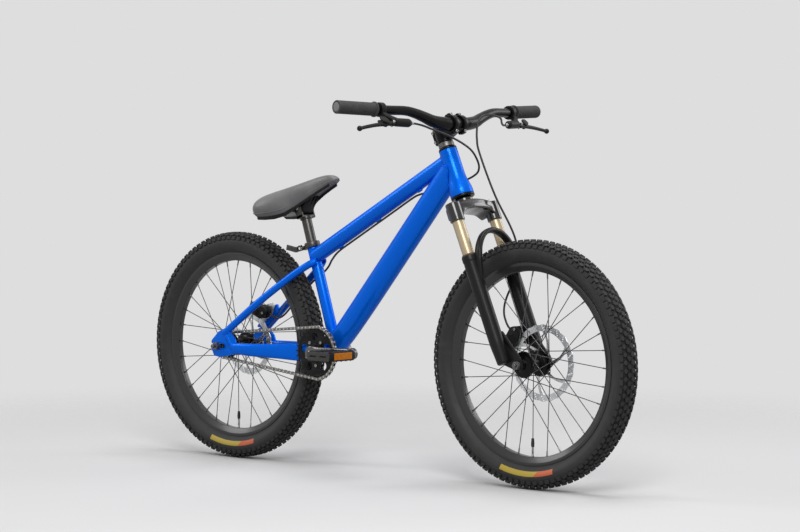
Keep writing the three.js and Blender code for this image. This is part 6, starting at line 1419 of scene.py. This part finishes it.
pad_rings = [shrunk(pad_rings[0], -3.5, 0.35), shrunk(pad_rings[0], -2.5, 0.75), *pad_rings,
             shrunk(pad_rings[-1], 2.5, 0.8), shrunk(pad_rings[-1], 3.5, 0.4)]
pad_cage = skinned("pad_cage", pad_rings, vinyl, saddle_place, crease=180)
subdivision = pad_cage.modifiers.new("subdivision", "SUBSURF")
subdivision.levels = subdivision.render_levels = 3
pad = linked("saddle_cover", plain_mesh(pad_cage))
bpy.data.objects.remove(pad_cage)
piping = []
piping_width = 2.2
for side in (-1, 1):
    seam = [((x, side * half * 0.945, top - 0.8 * (top - bottom)), piping_width, piping_width)
            for x, half, top, bottom in saddle_rows[1:-1]]
    piping.append(swept("piping", eased(seam, 8), vinyl, saddle_place, sides=12, crease=80))
cover = joined("saddle_cover", pad, *piping)
stands_for(cover, "saddle_body", "saddle_vinyl", "saddle_pad")


def plastic_finish():
    """Moulded plastic with a fine spark-eroded texture."""
    plastic = Finish("black_plastic", Specular_IOR_Level=0.16)
    grain = plastic.noise(1100, 2)
    plastic.show(Base_Color=plastic.tint(grain, (0.006, 0.006, 0.006, 1), (0.013, 0.013, 0.013, 1)))
    plastic.show(Roughness=0.42 + grain * 0.15)
    plastic.relief(grain, 0.15, 0.0003)
    return plastic.material


black_plastic = plastic_finish()
half_lip = [(0.6, 12), (0.86, 3), (0.87, -2.2), (0.84, -4.6), (0.76, -4.8), (0.68, -1.6), (0.55, 7)]
lip = [(-out, up) for out, up in half_lip] + half_lip[::-1]
base_rings = [[(x, out * half, bottom + up) for out, up in lip] for x, half, _, bottom in saddle_rows[2:-2]]
base_parts = [skinned("shell", base_rings, black_plastic, saddle_place, crease=50)]
keel = arc(0, 0, 19, 200, 340, 24) + [(32, 6), (52, 24), (-36, 14), (-32, 4)]
base_parts.append(plate("keel", keel, -17.8, 17.8, black_plastic, [circle(0, 0, 4.6, 24)], saddle_place, edge=1.4))
for y in (-24, -12, 0, 12, 24):
    reach = 30 if abs(y) > 18 else 44
    rib = [(-reach, 4), (-12, -10), (12, -10), (reach, 12), (reach + 6, 26), (-reach - 6, 10)]
    if abs(y) > 18:
        rib = [(-reach, 2), (-22, 0), (reach - 4, 14), (reach, 20), (-reach, 10)]
    base_parts.append(plate("rib", softened(rib, 3), y - 1.2, y + 1.2, black_plastic, place=saddle_place, edge=0.4))
stands_for(joined("saddle_shell", *base_parts), "saddle_body", "black_plastic", "saddle_base")

# ---------------------------------------------------------------- Chain
# Seventy-four links, outer and inner in turn, run round the 32 teeth in front and the 16 behind.
# Each has two stamped side plates, and bright pins and rollers lie between them.

pitch, chain_y = 12.7, -46
ring_teeth, cog_teeth, link_count = 32, 16, 74
ring_radius, cog_radius = (pitch / (2 * math.sin(math.pi / teeth)) for teeth in (ring_teeth, cog_teeth))


def chain_path():
    """A closed line round both toothed wheels and along the straight runs between them."""
    front, back = np.array((crank_axis[0], crank_axis[2])), np.array((rear_axle[0], rear_axle[2]))
    way = front - back
    base, tilt = math.atan2(way[1], way[0]), math.acos((ring_radius - cog_radius) / np.linalg.norm(way))
    over, under = base + tilt, base - tilt
    path = []
    for centre, radius, start, end in ((front, ring_radius, over, under),
                                       (back, cog_radius, under, over - 2 * math.pi)):
        path += [centre + radius * np.array((math.cos(a), math.sin(a))) for a in np.linspace(start, end, 200)]
    return np.array(path + path[:1])


line = chain_path()
runs = np.r_[0, np.cumsum(np.linalg.norm(np.diff(line, axis=0), axis=1))]
stops = np.linspace(0, runs[-1], link_count, endpoint=False)
pins = np.array([np.interp(stops, runs, line[:, axis]) for axis in range(2)]).T
ways = np.roll(pins, -1, 0) - pins
middles = (pins + np.roll(pins, -1, 0)) / 2


def link_plates(outer):
    """A pair of waisted side plates. Those of an outer link stand further apart."""
    outline = []
    for sign in (1, -1):
        outline += [(sign * (pitch / 2 + 4.1 * math.cos(a)), sign * 4.1 * math.sin(a))
                    for a in np.linspace(-1.2, 1.2, 7)]
        outline.append((0, sign * 2.9))
    near = 3.45 if outer else 2.45
    spans = [sorted((side * near, side * (near + 0.95))) for side in (-1, 1)]
    return joined("plates", *[plate("side", outline, *span, chain_steel, edge=0.25) for span in spans])


def link_pins(outer):
    """The two pins of an outer link, or the two rollers of an inner one."""
    pin_profile = [(0, -4.9), (1.7, -4.9), (1.9, -4.6), (1.9, 4.6), (1.7, 4.9), (0, 4.9)]
    roller_profile = [(0, -2.4), (3.8, -2.4), (3.8, 2.4), (0, 2.4)]
    profile, sides = (pin_profile, 12) if outer else (roller_profile, 14)
    places = [Matrix.Translation((x, 0, 0)) for x in (-pitch / 2, pitch / 2)]
    return joined("pins", *[turned("pin", profile, chain_pin, at, axis="Y", sides=sides, soft=0) for at in places])


chain_steel = metal_finish("chain_steel", (0.25, 0.245, 0.23, 1), 0.3, 0.46, 300)
chain_pin = metal_finish("chain_pin_steel", (0.66, 0.65, 0.62, 1), 0.2, 0.34, 300)
links = []
for outer in (False, True):
    picked = range(1 if outer else 0, link_count, 2)
    points = [np.array((middles[k][0], chain_y, middles[k][1])) * MM for k in picked]
    turns = [(0, -math.atan2(ways[k][1], ways[k][0]), 0) for k in picked]
    links += [copies("links", link_plates(outer), points, turns, chain_steel),
              copies("links", link_pins(outer), points, turns, chain_pin)]
stands_for(joined("chain_links", *links), "frame_body", "steel", "chain")

# ---------------------------------------------------------------- Cranks, chainring and cog
# Forged grey arms on a steel spindle, with a black stamped chainring bolted to the right one.
# The small black cog sits on the rear hub's freewheel.


def toothed(teeth, tip, root):
    """A toothed wheel's outline about the origin."""
    outline = []
    for k in range(teeth):
        base = 2 * math.pi * k / teeth
        step = 2 * math.pi / teeth
        for share, radius in ((-0.36, root + 1.4), (-0.2, root), (0.0, root - 0.3), (0.2, root), (0.36, root + 1.4),
                              (0.44, tip - 0.7), (0.5, tip), (0.56, tip - 0.7)):
            angle = base + share * step
            outline.append((radius * math.cos(angle), radius * math.sin(angle)))
    return outline


crank_place = upright(crank_axis, (0.99889, 0, 0.047106))
ring_holes = [circle(0, 0, 15.2, 48)]
for k in range(5):
    base = 2 * math.pi * (k + 0.25) / 5
    ring_holes.append(circle(40 * math.cos(base), 40 * math.sin(base), 10.5, 32))
    ring_holes.append(circle(54.5 * math.cos(base + 0.63), 54.5 * math.sin(base + 0.63), 3.0, 16))
chainring_finish = black_metal("chainring_black", (0.012, 0.012, 0.012, 1), 0.2, 0.34, 0.6)
plate_low, plate_high, ring_face = chain_y - 1.1, chain_y + 1.1, chain_y - 1.0
ring_outline = toothed(ring_teeth, ring_radius + 4.2, ring_radius - 3.8)
disc = plate("disc", ring_outline, plate_low, plate_high, chainring_finish, ring_holes, crank_place, edge=0.35)
groove_profile = [(55.6, ring_face - 0.9), (57.6, ring_face - 0.9), (58.4, ring_face), (54.8, ring_face)]
rim_groove = turned("groove", groove_profile, chainring_finish, crank_place, axis="Y", sides=96, soft=0.3)
centre_profile = [(15.2, ring_face - 1.6), (23, ring_face - 1.6), (24, ring_face), (15.2, ring_face)]
centre_boss = turned("centre", centre_profile, chainring_finish, crank_place, axis="Y", sides=64, soft=0.4)
stands_for(joined("chainring_plate", disc, rim_groove, centre_boss), "crank_body", "matte_black", "chainring")

cog_place = rear_place @ Matrix.Rotation(math.radians(11.25), 4, "Y")
cog_outline = toothed(cog_teeth, cog_radius + 4.0, cog_radius - 3.8)
cog_holes = [circle(0, 0, 12.4, 40)]
cog = plate("cog", cog_outline, plate_low, plate_high, chainring_finish, cog_holes, cog_place, edge=0.35)
driver_profile = [(9.6, -59), (15.6, -59), (17, -57.6), (17, -41.6), (9.6, -41.6)]
driver = turned("driver", driver_profile, hub_black, rear_place, axis="Y", sides=64, soft=0.6)
stands_for(joined("freewheel_cog_and_body", cog, driver), "cog_body", "matte_black", "freewheel_cog")

crank_grey = metal_finish("crank_grey", (0.17, 0.167, 0.165, 1), 0.2, 0.32, 160, 0.9)
spindle_profile = [(0, -52.6), (8.8, -52.6), (9.5, -52), (9.5, 52), (8.8, 52.6), (0, 52.6)]
spindle = turned("crank_spindle_rod", spindle_profile, steel_metal, crank_place, axis="Y", sides=40, soft=0.3)
stands_for(spindle, "crank_body", "steel", "crank_spindle")


crank_length = 152


def crank_arm(side):
    """An arm that narrows to the pedal and stands further out there."""
    way = 1 if side < 0 else -1

    def outwards(profile):
        return [(radius, side * out) for radius, out in profile]

    arm_shares = [(-12, 60.5, 15, 27), (6, 60.5, 15, 33), (30, 62, 14.5, 30), (76, 70.5, 14, 27), (130, 79, 14, 26),
                  (163, 80, 13, 20)]
    stations = [((way * along, side * out, 0), width, height) for along, out, width, height in arm_shares]
    boss_profile = outwards([(0, 53), (18, 53), (18, 66.4), (16, 68), (8, 68), (7.4, 65.4), (0, 65.4)])
    end_profile = outwards([(0, 73), (13, 73), (14, 74.4), (14, 85.6), (12.6, 86.8), (0, 86.8)])
    bolt_profile = outwards([(0, 65), (6.6, 65), (6.6, 68.6), (4.4, 69.6), (4, 67), (0, 67)])
    end_place = crank_place @ Matrix.Translation((way * crank_length, 0, 0))
    arm = swept("arm", eased(stations, 7), crank_grey, crank_place, sides=44, squareness=0.5)
    boss = turned("boss", boss_profile, crank_grey, crank_place, axis="Y", sides=56, soft=1.2)
    end = turned("end", end_profile, crank_grey, end_place, axis="Y", sides=48, soft=1.0)
    bolt = turned("bolt", bolt_profile, steel_metal, crank_place, axis="Y", sides=24, soft=0.4)
    return joined(("right" if side < 0 else "left") + "_crank_arm_forging", arm, boss, end, bolt)


stands_for(crank_arm(-1), "crank_body", "silver", "right_crank_arm")
stands_for(crank_arm(1), "crank_body", "silver", "left_crank_arm")
ring_bolts = []
for k in range(5):
    base = 2 * math.pi * (k + 0.75) / 5
    ring_bolts.append(crank_place @ Vector((31 * math.cos(base), ring_face, 31 * math.sin(base))) * MM)
bolts = copies("chainring_bolts", socket_bolt("bolt", steel_metal, 4.0, 2.4), ring_bolts, [facing((0, -1, 0))] * 5,
               steel_metal)
stands_for(bolts, "crank_body", "steel")

# ---------------------------------------------------------------- Pedals
# Black moulded platforms with open windows, studs against slipping and amber reflectors front and rear.
# Each turns on a steel axle screwed into its crank arm.


def amber_finish():
    """Clear amber plastic over a field of small prisms."""
    amber = Finish("amber_reflector", Coat_Weight=0.15, Coat_Roughness=0.05, Specular_IOR_Level=0.2)
    cells = amber.node("ShaderNodeTexVoronoi", {}, {"Vector": amber.place, "Scale": 420})
    amber.show(Base_Color=amber.tint(amber.between(cells, 0.0, 0.6), (0.85, 0.34, 0.008, 1), (0.50, 0.14, 0.003, 1)))
    amber.show(Roughness=0.2 + cells * 0.25)
    amber.relief(cells, 0.35, 0.0005)
    return amber.material


amber = amber_finish()
platform_middle, rail_x = 152, 31.5


def pedal(name, side, place, body, node):
    """The platform lies about its axle, with X forwards."""
    middle = side * platform_middle
    frame_outline = [(-38, -46), (38, -46), (38, 46), (-38, 46)]
    flat = place @ Matrix.Translation((0, middle, 0)) @ quarter_x
    windows = []
    for x_low, x_high in ((-28, -11.5), (11.5, 28)):
        for y_low, y_high in ((-36, -2.5), (2.5, 36)):
            windows.append(softened([(x_low, y_low), (x_high, y_low), (x_high, y_high), (x_low, y_high)], 3))
    deck = plate("deck", softened(frame_outline, 9), -8.6, 8.6, black_plastic, windows, flat, edge=1.2)
    rails = []
    for x in (-rail_x, rail_x):
        rail = [((x, middle - 39, 0), 11, 23.6), ((x, middle + 39, 0), 11, 23.6)]
        rails.append(swept("rail", rail, black_plastic, place, side=(1, 0, 0), sides=28, squareness=0.35))
    for y in (-41.5, 41.5):
        rail = [((-31, middle + y, 0), 9, 21), ((31, middle + y, 0), 9, 21)]
        rails.append(swept("rail", rail, black_plastic, place, side=(0, 1, 0), sides=28, squareness=0.35))
    barrel = swept("barrel", [((0, middle - 44, 0), 20, 19), ((0, middle + 44, 0), 19, 18)], black_plastic, place,
                   side=(1, 0, 0), sides=32, squareness=0.7)
    low, high = sorted((side * 86.9, side * 107))
    axle_profile = [(0, low), (5.4, low), (7.4, low + 4), (7.4, high - 4), (5.4, high), (0, high)]
    axle = turned("axle", axle_profile, steel_metal, place, axis="Y", sides=32, soft=0.5)
    stands_for(joined(name, deck, barrel, *rails, axle), body, "black_plastic", node)
    glasses = []
    for x in (-1, 1):
        glass = [((x * 36.6, middle - 31, 0), 3.2, 16.6), ((x * 36.6, middle + 31, 0), 3.2, 16.6)]
        glasses.append(swept("glass", glass, amber, place, side=(1, 0, 0), sides=28, squareness=0.25))
    slots = [softened([(x - 10.5, -2), (x + 10.5, -2), (x + 10.5, 2), (x - 10.5, 2)], 2) for x in (-15.5, 15.5)]
    end_outline = softened([(-36, -10.5), (36, -10.5), (36, 10.5), (-36, 10.5)], 7)
    cap_low, cap_high = sorted((side * 197.4, side * 199.6))
    cap = plate(name + "_end_plate", end_outline, cap_low, cap_high, gunmetal, slots, place, edge=0.5)
    stands_for(cap, body, "gunmetal")
    stands_for(joined(name + "_reflectors", *glasses), body, "black_plastic")
    studs, turns = [], []
    for up in (-1, 1):
        for x in (-rail_x, rail_x):
            for y in (-33, -16.5, 0, 16.5, 33):
                studs.append(place @ Vector((x, middle + y, up * 11.6)) * MM)
                turns.append(((0 if up > 0 else math.pi), 0, 0))
    stud = turned("stud", [(0, 0), (2.2, 0), (1.7, 1.5), (0, 1.5)], black_plastic, sides=10, soft=0)
    stands_for(copies(name + "_studs", stud, studs, turns, black_plastic), body, "black_plastic")


pedal("right_pedal_platform", -1, upright((-13.15, 0, 291.16)), "right_pedal_body", "right_pedal")
pedal("left_pedal_platform", 1, upright((-316.81, 0, 276.84)), "left_pedal_body", "left_pedal")
